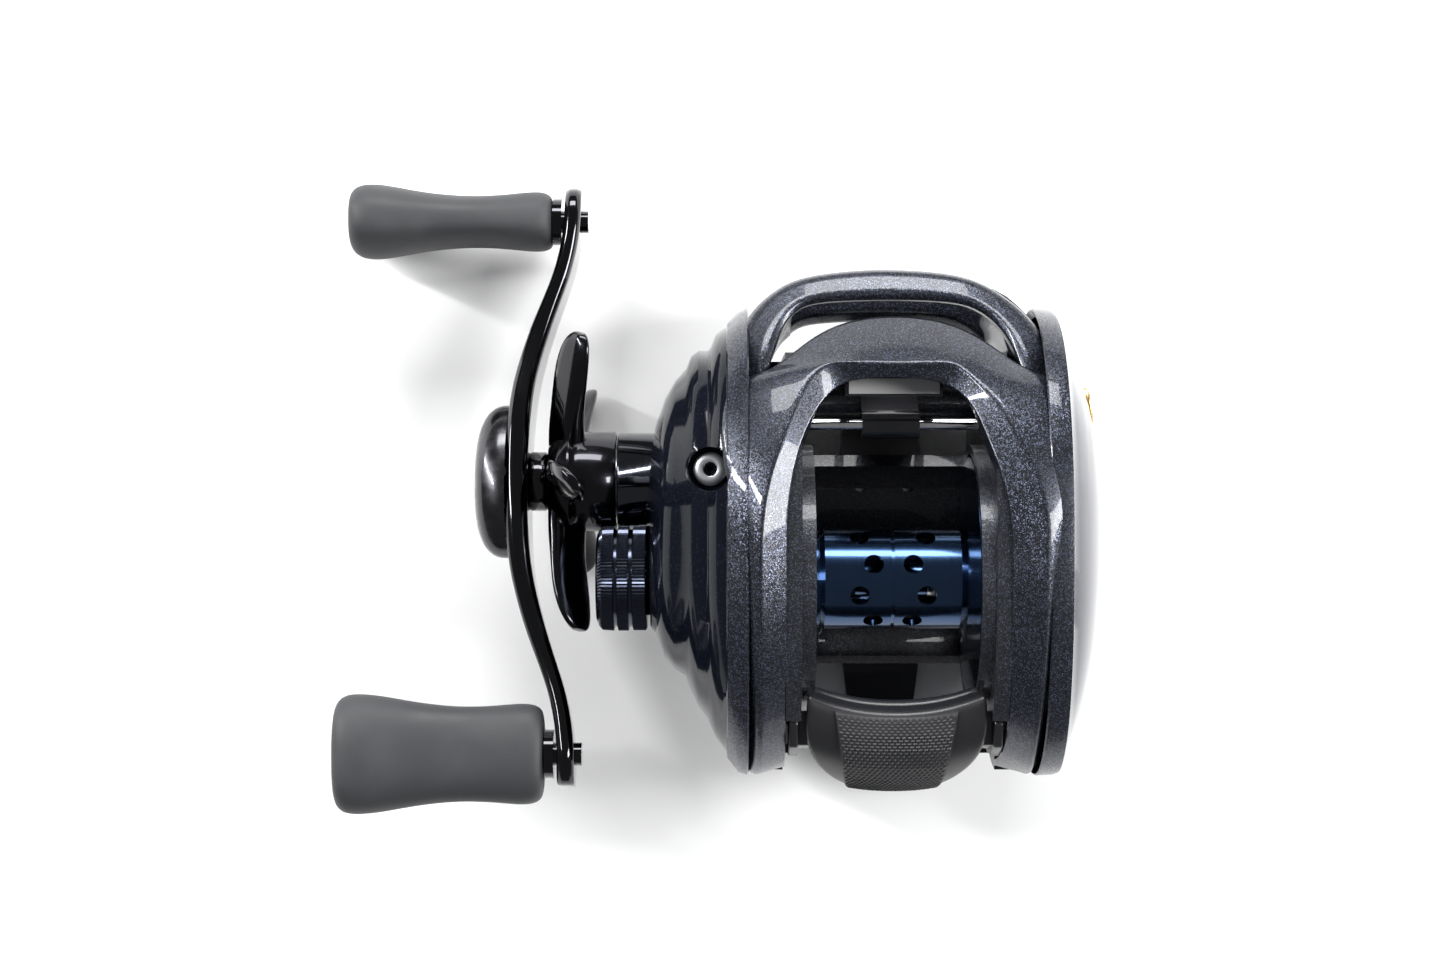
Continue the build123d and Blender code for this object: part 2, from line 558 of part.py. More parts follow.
def make_clutch_plate():
    """The plate behind the thumb bar, open around the pinion, with two ramps."""
    outline = [clutch_place(*p) for p in ((2.8, -5.6), (2.8, 5.6), (-14.6, 5.6), (-14.6, -5.6))]
    link = [(-21.8, 30.8), (-21.8, 23.6), (-4.0, 23.8), (-1.0, 32.0), (-12.0, 31.5)]
    plate = slab(outline, *CLUTCH_PLATE_X) + slab(link, *CLUTCH_PLATE_X)
    hole = [clutch_place(*p) for p in ((3.3, -3.2), (3.3, 3.2), (-7.7, 3.2), (-7.7, -3.2))]
    plate -= slab(hole, -17, -15)
    for ahead, z in SPRING_PLACES:
        reach = THUMB_TRAVEL
        track = [
            (ahead - 1.2, z), (ahead + 1.2, z),
            (ahead + 1.2 - reach * THUMB_WAY[0], z - reach * THUMB_WAY[1]),
            (ahead - 1.2 - reach * THUMB_WAY[0], z - reach * THUMB_WAY[1]),
        ]
        end = (ahead - reach * THUMB_WAY[0], z - reach * THUMB_WAY[1])
        plate -= slab(track, -17, -15) + tube(-17, -15, 1.2, 0, ahead, z) + tube(-17, -15, 1.2, 0, *end)
    low, high = RAMP_FOOT, -THUMB_TRAVEL - RAMP_FOOT
    top_x = CLUTCH_PLATE_X[0] - RAMP_SLOPE * (low - high)
    for across in (-4.4, 4.4):
        ridge = [(CLUTCH_PLATE_X[0], low), (CLUTCH_PLATE_X[0], high), (top_x, high)]
        points = [(x, SPOOL_Y + clutch_place(u, across - 0.8)[0], clutch_place(u, across - 0.8)[1]) for x,
            u in ridge]
        face = make_face(Polyline(*points, close=True))
        way = (0, -THUMB_WAY[1], THUMB_WAY[0])
        plate += extrude(face, amount=1.6, dir=way)
    plate += slab([(-22.5, 31.0), (-22.5, 26.5), (-19.8, 24.5), (-19.8, 31.5)], CLUTCH_PLATE_X[0], -14.6)
    return plate


THUMB_TOP = [(-15.9, 36.4), (-19.5, 37.0), (-24.0, 35.6), (-27.6, 31.8), (-29.2, 27.8)]
THUMB_UNDER = [(-27.2, 27.0), (-25.0, 31.2), (-21.0, 33.4), (-16.4, 34.2)]


def thumb_section(x, away=0.0, down=0.0):
    """The thumb bar's section at x, moved away from the spool."""
    top = [Vector(x, SPOOL_Y + a - 0.5 * away, z + 0.86 * away - down) for a, z in THUMB_TOP]
    under = [Vector(x, SPOOL_Y + a - 0.5 * away, z + 0.86 * away - down) for a, z in THUMB_UNDER]
    return make_face([Spline(*top), Line(top[-1], under[0]), Spline(*under), Line(under[-1], top[0])])


def make_thumb_bar():
    """The bar pressed by the thumb, with a guide arm in each plate's slot."""
    bar = extrude(thumb_section(-THUMB_HALF), amount=2 * THUMB_HALF, dir=(1, 0, 0))
    arm = [(-19.4, 34.4), (-23.4, 33.4), (-24.2, 26.0), (-21.5, 22.0), (-19.4, 22.0)]
    for side in (-1, 1):
        x0, x1 = sorted((side * 13.2, side * 14.6))
        bar += slab(arm, x0, x1)
        x0, x1 = sorted((side * (THUMB_HALF - 0.6), side * 13.3))
        bar += slab([(-20.0, 33.6), (-23.4, 32.6), (-23.6, 29.6), (-20.0, 30.6)], x0, x1)
    return bar


def make_thumb_pad():
    """The thin textured pad on the thumb bar."""
    pad = extrude(thumb_section(-8.2, 0.5), amount=16.4, dir=(1, 0, 0))
    pad -= extrude(thumb_section(-9.0), amount=18.0, dir=(1, 0, 0))
    sides = Polyline((-8.2, -17.2), (8.2, -17.2), (6.2, -28.4), (-6.2, -28.4), close=True)
    pad &= plan(sides, 20, 60)
    return Part() + max(pad.solids(), key=lambda solid: solid.volume)


# ---- drive train ----
def make_drive_shaft():
    """The crank shaft with its inner journal and the shoulder that the ratchet seats on."""
    return turned(
        [(DRIVE_X[0], 0), (DRIVE_X[0], DRIVE_R), (-18.3, DRIVE_R), (-18.3, 3.4), (-16.6, 3.4),
         (-16.6, DRIVE_R), (-PLATE_OUT - 0.1, DRIVE_R), (-PLATE_OUT - 0.1, JOURNAL_R),
         (DRIVE_X[1], JOURNAL_R),
         (DRIVE_X[1], 0)],
        DRIVE_AHEAD, DRIVE_Z,
    )


def make_ratchet():
    """A small ratchet wheel whose teeth kick the clutch back in."""
    teeth, outer, inner = 10, 6.2, 4.9
    points = []
    for k in range(teeth):
        turn = 2 * math.pi * k / teeth
        after = turn + 2 * math.pi / teeth * 0.95
        points.append((DRIVE_AHEAD + outer * math.cos(turn), DRIVE_Z + outer * math.sin(turn)))
        points.append((DRIVE_AHEAD + inner * math.cos(after), DRIVE_Z + inner * math.sin(after)))
    return slab(points, -19.6, -18.35) - tube(-20, -18, DRIVE_R + 0.02, 0, DRIVE_AHEAD, DRIVE_Z)


def make_main_gear():
    """The main gear, with a cup in its outer face for the drag washer."""
    towards = math.atan2(SPOOL_Z - DRIVE_Z, -DRIVE_AHEAD)
    wheel = gear(
        MAIN_TEETH, MODULE, -TOOTH_SHIFT, DRIVE_R + 0.1, *MAIN_X, DRIVE_AHEAD, DRIVE_Z, towards,
    )
    return wheel - tube(MAIN_X[0] - 1, MAIN_X[0] + 1.7, 9.6, 0, DRIVE_AHEAD, DRIVE_Z)


def make_worm_drive_gear():
    """The gear on the crank shaft that turns the level wind."""
    towards = math.atan2(WORM_Z - DRIVE_Z, WORM_AHEAD - DRIVE_AHEAD)
    return gear(
        WORM_DRIVE_TEETH, WORM_MODULE, 0, DRIVE_R + 0.02, *WORM_GEAR_X, DRIVE_AHEAD, DRIVE_Z, towards, 0.1,
    )


def make_worm_gear():
    """The gear on the end of the worm shaft."""
    back = math.atan2(DRIVE_Z - WORM_Z, DRIVE_AHEAD - WORM_AHEAD)
    tooth_at = back + math.pi / WORM_TEETH
    return gear(
        WORM_TEETH, WORM_MODULE, 0, 1.5, *WORM_GEAR_X, WORM_AHEAD, WORM_Z, tooth_at, 0.1,
    )


def make_worm_shaft():
    """The level-wind worm: crossed grooves between two journals."""
    shaft = turned(
        [(-21.3, 0), (-21.3, 1.5), (-12.8, 1.5), (-12.8, WORM_R), (12.8, WORM_R), (12.8, 1.5),
        (15.2, 1.5), (15.2, 0)],
        WORM_AHEAD, WORM_Z,
    )
    ring = Cylinder(WORM_R + 1, 0.9) - Cylinder(WORM_R - 0.6, 2)
    for k in range(7):
        x = -9.6 + 3.2 * k
        for tilt in (18, -18):
            shaft -= Pos(x, WORM_Y, WORM_Z) * Rot(Z=tilt) * Rot(Y=90) * ring
    return shaft


def make_handle_arm():
    """The double crank: bowed outwards at the middle, cranked inwards at the ends."""
    half = [(ARM_OUT_X, 0), (-53.5, 12), (-50.9, 22), (-47.8, 30), (-46.4, 37), (-46.3, 45)]
    inside = [(-50.9, 0), (-50.4, 12), (-48.0, 22), (-45.3, 30), (-44.0, 37), (-43.9, 45)]
    outer = [(x, -r, -8) for x, r in reversed(half[1:])] + [(x, r, -8) for x, r in half]
    inner = [(x, -r, -8) for x, r in reversed(inside[1:])] + [(x, r, -8) for x, r in inside]
    face = make_face([
        Spline(*outer), Spline(*inner), Line(outer[0], inner[0]), Line(outer[-1], inner[-1]),
    ])
    bow = extrude(face, amount=16, dir=(0, 0, 1))
    widths = [(0, 6.6), (10, 5.9), (20, 4.4), (30, 4.2), (HANDLE_REACH, 4.9)]
    up = [(-60, -r, w) for r, w in reversed(widths[1:])] + [(-60, r, w) for r, w in widths]
    down = [(x, r, -w) for x, r, w in up]
    tip = HANDLE_REACH + 5.0
    shape = make_face([
        Spline(*up), Spline(*down),
        ThreePointArc(up[-1], (-60, tip, 0), down[-1]), ThreePointArc(up[0], (-60, -tip, 0), down[0]),
    ])
    arm = bow & extrude(shape, amount=20, dir=(1, 0, 0))
    arm -= Rot(Y=90) * Cylinder(DRIVE_R, 130)
    for end in (1, -1):
        arm -= Pos(0, end * HANDLE_REACH, 0) * Rot(Y=90) * Cylinder(1.6, 130)
    return on_crank(arm)


def on_crank(shape):
    """Place a shape drawn about the crank axis, with the arm along Y."""
    return Pos(0, DRIVE_Y, DRIVE_Z) * Rot(X=HANDLE_ANGLE) * shape


def knob_place(end):
    """(ahead, z) of a knob post: end is 1 for the front knob and -1 for the rear one."""
    turn = math.radians(HANDLE_ANGLE)
    return DRIVE_AHEAD + end * HANDLE_REACH * math.cos(turn), DRIVE_Z + end * HANDLE_REACH * math.sin(turn)


def make_handle_nut():
    """A hexagon nut on the shaft's end."""
    hexagon = RegularPolygon(5.0, 6)
    nut = Rot(Y=90) * extrude(hexagon, amount=1.9)
    return on_crank(Pos(ARM_OUT_X - 1.95, 0, 0) * nut) - tube(-60, -50, DRIVE_R, 0, DRIVE_AHEAD, DRIVE_Z)


def make_nut_cover():
    """The lens-shaped cover over the nut."""
    sections = []
    for x, length, width in ((-53.7, 11.0, 6.6), (-56.4, 10.2, 6.2), (-57.9, 7.6, 4.8), (-58.5, 4.4, 2.6)):
        rim = Pos(x, 0, 0) * Rot(Y=90) * Ellipse(width, length)
        sections.append(rim)
    cover = loft(sections)
    cover -= Pos(-53.0, 0, 0) * Rot(Y=90) * Cylinder(5.3, 7.4)
    cover = on_crank(cover)
    cover -= make_handle_arm()
    cover = max(cover.solids(), key=lambda solid: solid.volume)
    return Part() + cover - on_crank(Pos(-56, 8.2, 0) * Rot(Y=90) * Cylinder(0.8, 8))


def make_nut_cover_screw():
    """The small screw that holds the nut cover to the arm."""
    screw = on_crank(Pos(-55.6, 8.2, 0) * Rot(Y=90) * Cylinder(0.8, 3.0))
    return screw - make_handle_arm()


def make_star():
    """The star drag: a hub with five arms swept back towards the reel."""
    hub = turned(
        [(-48.2, DRIVE_R), (-48.2, 5.4), (-46.4, 6.6), (-43.4, 8.8), (-41.6, 8.8), (-41.4, 6.9),
         (-38.4, 6.9), (-38.4, 5.3), (-39.2, 5.3), (-39.2, DRIVE_R)],
        DRIVE_AHEAD, DRIVE_Z,
    )
    profile = [
        (-42.6, 6), (-42.4, 12), (-41.6, 18.0), (-41.45, STAR_R - 0.5), (-42.3, STAR_R),
        (-44.2, 19.8), (-46.0, 13), (-47.2, 8), (-47.2, 6),
    ]
    arm = make_face(Polyline(*[(x, r, -4.6) for x, r in profile], close=True))
    arm = extrude(arm, amount=9.2, dir=(0, 0, 1))
    petal = make_face(Polyline(
        (-60, 4, -4.6), (-60, 11, -2.9), (-60, 16, -2.6), (-60, 20, -2.6), (-60, STAR_R, -1.0),
        (-60, STAR_R, 1.0), (-60, 20, 2.6), (-60, 16, 2.6), (-60, 11, 2.9), (-60, 4, 4.6), close=True,
    ))
    arm &= extrude(petal, amount=30, dir=(1, 0, 0))
    for k in range(STAR_ARMS):
        hub += Pos(0, DRIVE_Y, DRIVE_Z) * Rot(X=90 + 360 * k / STAR_ARMS) * arm
    return hub


def make_tension_knob():
    """The knurled cast-control cap over the spool shaft's end."""
    x0, x1 = TENSION_X
    r = TENSION_R
    bands = [(x1, r - 0.5), (x1 - 0.5, r), (x1 - 2.0, r), (x1 - 2.2, r - 0.5), (x1 - 2.5, r - 0.5)]
    bands += [(x1 - 2.7, r), (x1 - 4.3, r), (x1 - 4.5, r - 0.5), (x1 - 4.8, r - 0.5), (x1 - 5.0, r)]
    bands += [(x1 - 6.5, r - 0.1), (x0, r - 1.3), (x0, 0), (x0 + 1.6, 0), (x0 + 1.6, 5.2 + 0.1),
        (x1, 5.2 + 0.1)]
    knob = turned(bands, 0, SPOOL_Z)
    notches = 40
    for k in range(notches):
        turn = 2 * math.pi * k / notches
        knob -= tube(x0, x1 + 0.1, 0.26, 0, (r + 0.05) * math.cos(turn),
            SPOOL_Z + (r + 0.05) * math.sin(turn))
    return knob


def make_knob(end):
    """A paddle grip: broad at the outer end, waisted, with a bore for its post and bearings."""
    ahead, z = knob_place(end)
    stations = [
        (KNOB_X[1], 0.74, 0.70), (-49.6, 0.82, 0.78), (-54.0, 0.78, 0.70), (-60.0, 0.79, 0.68),
        (-67.0, 0.90, 0.80), (-73.0, 1.0, 1.0), (-75.8, 0.96, 0.96), (KNOB_X[0], 0.72, 0.66),
    ]
    sections = []
    for x, broad, thin in stations:
        across = (KNOB_BROAD * broad / 2, KNOB_THIN * thin / 2)
        rim = Ellipse(*across) if end > 0 else Ellipse(*reversed(across))
        sections.append(Pos(x, SPOOL_Y + ahead, z) * Rot(Y=90) * rim)
    grip = loft(sections)
    grip -= tube(-80, -40, POST_R + 0.6, 0, ahead, z)
    grip -= tube(-51.4, -40, 3.5, 0, ahead, z)
    grip -= tube(-80, -72.4, 3.5, 0, ahead, z)
    return grip


def make_knob_bearings(end):
    """The two small bearings inside a knob."""
    ahead, z = knob_place(end)
    outer = tube(-74.4, -72.4, 3.5, POST_R + RUN, ahead, z)
    return Part() + tube(-51.4, -49.4, 3.5, POST_R + RUN, ahead, z) + outer


def make_knob_cap(end):
    """The plug in a knob's outer end."""
    ahead, z = knob_place(end)
    return tube(KNOB_X[0] + 0.1, -75.9, 3.5, 0, ahead, z)


def make_knob_posts():
    """The two posts riveted through the ends of the handle arm."""
    posts = Part()
    for end in (1, -1):
        ahead, z = knob_place(end)
        posts += turned(
            [(-74.6, 0), (-74.6, POST_R), (-48.1, POST_R), (-48.1, 3.4), (-46.8, 3.4), (-46.8, 1.6),
            (-43.0, 1.6),
             (-43.0, 0)],
            ahead, z,
        )
    return posts


def make_knob_screws():
    """The two screws in the ends of the posts, which keep the knobs on."""
    screws = Part()
    for end in (1, -1):
        screws += tube(-75.6, -74.65, 2.6, 0, *knob_place(end))
    return screws


def make_line_guide():
    """The carriage on the worm tube and guide bar, with a T-shaped line opening in front."""
    half = 4.0
    outer = TUBE_R + TUBE_WALL + RUN
    bar_eye = tube(-half, half, 2.0, 0, BAR_AHEAD, BAR_Z)
    guide = tube(-half, half, outer + 1.6, 0, WORM_AHEAD, WORM_Z) + bar_eye
    guide += slab([(BAR_AHEAD - 1.2, BAR_Z - 1), (BAR_AHEAD + 1.4, BAR_Z), (27.5, 20.5), (23.5, 18.5)],
        -half, half)
    guide += block(-2.6, 2.6, WORM_AHEAD + 2, 30.4, 13.0, 19.0)
    head = block(-GUIDE_HALF, GUIDE_HALF, 30.2, 32.6, 12.5, 31.6)
    head -= block(-GUIDE_HALF + 1.4, GUIDE_HALF - 1.4, 29, 34, 24.5, 30.0)
    head -= block(-1.3, 1.3, 29, 34, 15.0, 26.0)
    corner = Polyline((1.3, 0, 21.0), (GUIDE_HALF - 1.4, 0, 24.6), (-GUIDE_HALF + 1.4, 0, 24.6),
        (-1.3, 0, 21.0), close=True)
    head -= Pos(0, SPOOL_Y + 34, 0) * extrude(make_face(corner), amount=6, dir=(0, -1, 0))
    guide += head
    guide += block(-GUIDE_HALF, GUIDE_HALF, 25.2, 30.4, 30.2, 31.6)
    guide -= tube(-20, 20, outer, 0, WORM_AHEAD, WORM_Z)
    guide -= tube(-20, 20, BAR_R + RUN, 0, BAR_AHEAD, BAR_Z)
    bore = Pos(0, WORM_Y, WORM_Z - 8) * Cylinder(1.25, 8, align=(Align.CENTER, Align.CENTER, Align.MIN))
    well = Pos(0, WORM_Y, WORM_Z - 8.2) * Cylinder(2.6, 5.0, align=(Align.CENTER, Align.CENTER, Align.MIN))
    return guide + (well - tube(-20, 20, outer, 0, WORM_AHEAD, WORM_Z)) - bore


def make_label_plate():
    """The bare plate on the line guide's top lip."""
    return block(-6.2, 6.2, 25.5, 27.6, 31.65, 32.2)


def make_pawl():
    """The pin that follows the worm's groove."""
    return Pos(0, WORM_Y, WORM_Z - 7.4) * Cylinder(1.15, 5.0, align=(Align.CENTER, Align.CENTER, Align.MIN))


def make_pawl_cap():
    """The cap that keeps the pawl in."""
    return Pos(0, WORM_Y, WORM_Z - 9.4) * Cylinder(2.6, 1.1, align=(Align.CENTER, Align.CENTER, Align.MIN))


def make_all():
    """Every sub-part by name."""
    drive = (DRIVE_AHEAD, DRIVE_Z)
    axle = (0, SPOOL_Z)
    parts = {
        "frame": make_frame(),
        "reel_foot": make_foot(),
        "foot_screws": make_foot_screws(),
        "top_cover": make_top_cover(),
        "front_hood": make_hood(),
        "gear_side_cover": make_gear_cover(),
        "gear_cover_screws": make_gear_cover_screws(),
        "palm_side_cover": make_palm_cover(),
        "brake_housing": make_brake_housing(),
        "housing_screws": make_housing_screws(),
        "outer_magnet_ring": tube(13.8, 20.0, 12.4, 10.0, *axle),
        "inner_magnet_ring": tube(13.4, 20.0, 8.5, 6.4, *axle),
        "spool_bearing_palm": tube(17.6, 20.05, 4.0, SPOOL_SHAFT_R + RUN, *axle),
        "brake_dial": make_brake_dial(),
        "brake_dial_clip": tube(24.8, 25.5, 3.0, 1.5, DIAL_AHEAD, DIAL_Z),
        "spool": make_spool(),
        "spool_shaft": tube(*SPOOL_SHAFT_X, SPOOL_SHAFT_R, 0, *axle) - make_spool_pin(),
        "spool_pin": make_spool_pin(),
        "brake_rotor": make_rotor(),
        "spool_bearing_gear": tube(-36.55, -34.0, 3.8, SPOOL_SHAFT_R + RUN, *axle),
        "pinion": make_pinion(),
        "pinion_bearing": tube(-30.25, -28.3, 4.5, 2.0 + RUN, *axle),
        "clutch_yoke": make_yoke(),
        "yoke_springs": make_yoke_springs(),
        "clutch_plate": make_clutch_plate(),
        "thumb_bar": make_thumb_bar(),
        "thumb_pad": make_thumb_pad(),
        "drive_shaft": make_drive_shaft(),
        "drive_shaft_bearings": Part() + tube(-PLATE_OUT, -PLATE_IN, 4.0, JOURNAL_R + RUN, *drive)
        + tube(-36.95, -34.0, CLUTCH_R, SLEEVE_R + RUN, *drive),
        "ratchet": make_ratchet(),
        "worm_drive_gear": make_worm_drive_gear(),
        "main_gear": make_main_gear(),
        "drag_washers": Part() + tube(-21.55, -21.05, 8.0, DRIVE_R + 0.1, *drive)
        + tube(-22.75, -23.6, 9.3, DRIVE_R + 0.1, *drive),
        "pressure_plate": tube(-24.8, -23.65, 9.2, DRIVE_R + 0.02, *drive),
        "roller_clutch": tube(-32.0, -26.4, CLUTCH_R, SLEEVE_R + RUN, *drive),
        "clutch_sleeve": tube(*SLEEVE_X, SLEEVE_R, DRIVE_R + 0.02, *drive),
        "drag_spring_washers": Part() + tube(-38.5, -38.05, 5.0, 2.6, *drive) + tube(-39.0, -38.55, 5.0,
        2.6, *drive),
        "star_drag": make_star(),
        "tension_knob": make_tension_knob(),
        "tension_spacer": tube(-39.35, -38.2, 3.0, 0, *axle),
        "handle_arm": make_handle_arm(),
        "handle_nut": make_handle_nut(),
        "nut_cover": make_nut_cover(),
        "nut_cover_screw": make_nut_cover_screw(),
        "knob_posts": make_knob_posts(),
        "knob_screws": make_knob_screws(),
        "worm_shaft": make_worm_shaft(),
        "worm_gear": make_worm_gear(),
        "worm_bushes": Part() + tube(-PLATE_OUT, -13.0, TUBE_R, 1.5 + RUN, WORM_AHEAD, WORM_Z)
        + tube(13.0, PLATE_OUT, TUBE_R, 1.5 + RUN, WORM_AHEAD, WORM_Z),
        "guide_bar": tube(-PLATE_OUT, PLATE_OUT, BAR_R, 0, BAR_AHEAD, BAR_Z),
        "line_guide": make_line_guide(),
        "guide_label_plate": make_label_plate(),
        "pawl": make_pawl(),
        "pawl_cap": make_pawl_cap(),
    }
    for end, name in ((1, "front"), (-1, "rear")):
        parts[f"knob_{name}"] = make_knob(end)
        parts[f"knob_bearings_{name}"] = make_knob_bearings(end)
        parts[f"knob_cap_{name}"] = make_knob_cap(end)
    return parts


os.makedirs("parts", exist_ok=True)
for part_name, part_shape in make_all().items():
    save(part_name, part_shape)
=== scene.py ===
import math

import bmesh
import bpy
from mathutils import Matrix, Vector


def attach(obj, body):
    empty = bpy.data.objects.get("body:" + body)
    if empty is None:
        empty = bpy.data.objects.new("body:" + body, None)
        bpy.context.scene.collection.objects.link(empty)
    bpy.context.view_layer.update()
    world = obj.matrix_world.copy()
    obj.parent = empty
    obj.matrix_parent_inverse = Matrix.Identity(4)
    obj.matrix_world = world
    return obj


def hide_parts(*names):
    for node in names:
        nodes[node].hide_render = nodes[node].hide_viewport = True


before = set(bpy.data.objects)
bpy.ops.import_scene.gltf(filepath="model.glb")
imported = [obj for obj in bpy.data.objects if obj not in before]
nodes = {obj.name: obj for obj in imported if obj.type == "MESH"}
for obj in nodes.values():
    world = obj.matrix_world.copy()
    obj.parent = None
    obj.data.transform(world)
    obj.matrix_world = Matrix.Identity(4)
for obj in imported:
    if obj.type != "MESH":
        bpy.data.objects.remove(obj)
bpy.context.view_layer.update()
MM = 0.001
SPOOL_Y = -4.0  # the spool axis, in mm in the row frame
SPOOL_Z = 24.4

# ---- cast frame ----
# The frame is one aluminium casting: two side plates joined by the spool cradle and by cross
# bars. It is shot blasted, then sprayed dark gunmetal with a fine metal flake in the paint.


def group_sockets(name, inputs, outputs):
    """An empty shader node group with the named sockets, and its two end nodes."""
    group = bpy.data.node_groups.new(name, "ShaderNodeTree")
    for label, kind, value in inputs:
        socket = group.interface.new_socket(label, in_out="INPUT", socket_type="NodeSocket" + kind)
        if value is not None:
            socket.default_value = value
    for label, kind in outputs:
        group.interface.new_socket(label, in_out="OUTPUT", socket_type="NodeSocket" + kind)
    start = group.nodes.new("NodeGroupInput")
    end = group.nodes.new("NodeGroupOutput")
    return group, start, end


def add_node(tree, kind, links=(), values=(), **settings):
    """A node with its settings, its plain socket values, and links into its sockets."""
    node = tree.nodes.new("ShaderNode" + kind)
    for key, value in settings.items():
        setattr(node, key, value)
    for socket, value in values:
        node.inputs[socket].default_value = value
    for socket, source in links:
        tree.links.new(source, node.inputs[socket])
    return node


def mixed_colour(group, share, first, second):
    """The first colour, with a share of the second mixed in."""
    mixed = add_node(group, "Mix", [(0, share), (6, first), (7, second)], data_type="RGBA")
    return mixed.outputs[2]


def varied_gloss(group, noise, gloss, low, high):
    """The gloss, made lower and higher by a noise."""
    spread = add_node(group, "MapRange", [("Value", noise)],
                      [("From Min", 0.3), ("From Max", 0.7), ("To Min", low), ("To Max", high)])
    rough = add_node(group, "Math", [(0, spread.outputs[0]), (1, gloss)], operation="MULTIPLY")
    return rough.outputs[0]


def make_flake_group():
    """Metal flake in paint: cells of random tilt, and a share of them lighter than the base."""
    group, start, end = group_sockets(
        "metal_flake",
        [("Base", "Color", (0.02, 0.02, 0.03, 1)), ("Flake", "Color", (0.3, 0.35, 0.5, 1)),
         ("Cells", "Float", 9000.0), ("Share", "Float", 0.3), ("Tilt", "Float", 0.3),
         ("Gloss", "Float", 0.3)],
        [("Colour", "Color"), ("Roughness", "Float"), ("Normal", "Vector")],
    )
    place = add_node(group, "TexCoord")
    cells = add_node(group, "TexVoronoi", [("Vector", place.outputs["Object"])])
    group.links.new(start.outputs["Cells"], cells.inputs["Scale"])
    parts = add_node(group, "SeparateColor", [("Color", cells.outputs["Color"])])
    shown = add_node(group, "Math", [(0, parts.outputs[0]), (1, start.outputs["Share"])],
                     operation="LESS_THAN")
    strength = add_node(group, "Math", [(0, shown.outputs[0]), (1, parts.outputs[1])],
                        operation="MULTIPLY")
    mixed = mixed_colour(group, strength.outputs[0], start.outputs["Base"], start.outputs["Flake"])
    centred = add_node(group, "VectorMath", [(0, cells.outputs["Color"])],
                       [(1, (0.5, 0.5, 0.5))], operation="SUBTRACT")
    tilted = add_node(group, "VectorMath", [(0, centred.outputs[0])], operation="SCALE")
    group.links.new(start.outputs["Tilt"], tilted.inputs["Scale"])
    surface = add_node(group, "NewGeometry")
    summed = add_node(group, "VectorMath", [(0, surface.outputs["Normal"]), (1, tilted.outputs[0])],
                      operation="ADD")
    normal = add_node(group, "VectorMath", [(0, summed.outputs[0])], operation="NORMALIZE")
    cloud = add_node(group, "TexNoise", [("Vector", place.outputs["Object"])],
                     [("Scale", 140.0), ("Detail", 3.0)])
    rough = varied_gloss(group, cloud.outputs[0], start.outputs["Gloss"], 0.85, 1.2)
    group.links.new(mixed, end.inputs["Colour"])
    group.links.new(rough, end.inputs["Roughness"])
    group.links.new(normal.outputs[0], end.inputs["Normal"])
    return group


def new_finish(name, metallic=0.0, coat=0.0, coat_roughness=0.03, specular=0.5):
    """A material with a Principled shader whose plain numbers are set on its own sockets."""
    material = bpy.data.materials.new(name)
    material.use_nodes = True
    shader = material.node_tree.nodes["Principled BSDF"]
    shader.inputs["Metallic"].default_value = metallic
    shader.inputs["Coat Weight"].default_value = coat
    shader.inputs["Coat Roughness"].default_value = coat_roughness
    shader.inputs["Specular IOR Level"].default_value = specular
    return material, shader


def put_group(material, shader, group, values):
    """The group as a node of the material, with its own values, feeding colour and roughness."""
    node = material.node_tree.nodes.new("ShaderNodeGroup")
    node.node_tree = group
    for label, value in values.items():
        node.inputs[label].default_value = value
    material.node_tree.links.new(node.outputs["Colour"], shader.inputs["Base Color"])
    material.node_tree.links.new(node.outputs["Roughness"], shader.inputs["Roughness"])
    return node


flake_group = make_flake_group()


def flake_finish(name, base, flake, cells, share, tilt, gloss, metallic, coat):
    """Flake paint under a clear coat."""
    material, shader = new_finish(name, metallic, coat)
    node = put_group(material, shader, flake_group, {
        "Base": (*base, 1), "Flake": (*flake, 1), "Cells": cells, "Share": share,
        "Tilt": tilt, "Gloss": gloss,
    })
    material.node_tree.links.new(node.outputs["Normal"], shader.inputs["Normal"])
    return material


def finish_node(name, material):
    """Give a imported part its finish."""
    slots = nodes[name].material_slots
    if slots:
        for held in slots:
            held.material = material
    else:
        nodes[name].data.materials.append(material)


frame_paint = flake_finish("frame_paint", (0.014, 0.0145, 0.018), (0.07, 0.08, 0.11), 8500.0, 0.3,
                           0.18, 0.34, 0.4, 0.25)
finish_node("frame", frame_paint)

# ---- turned and stamped metal parts ----
# Shafts, bearings, gears and screws are cut from bar and sheet, and show fine tool lines round
# their axis. The screws are plated, the gears are brass, and the bearings are ground steel.


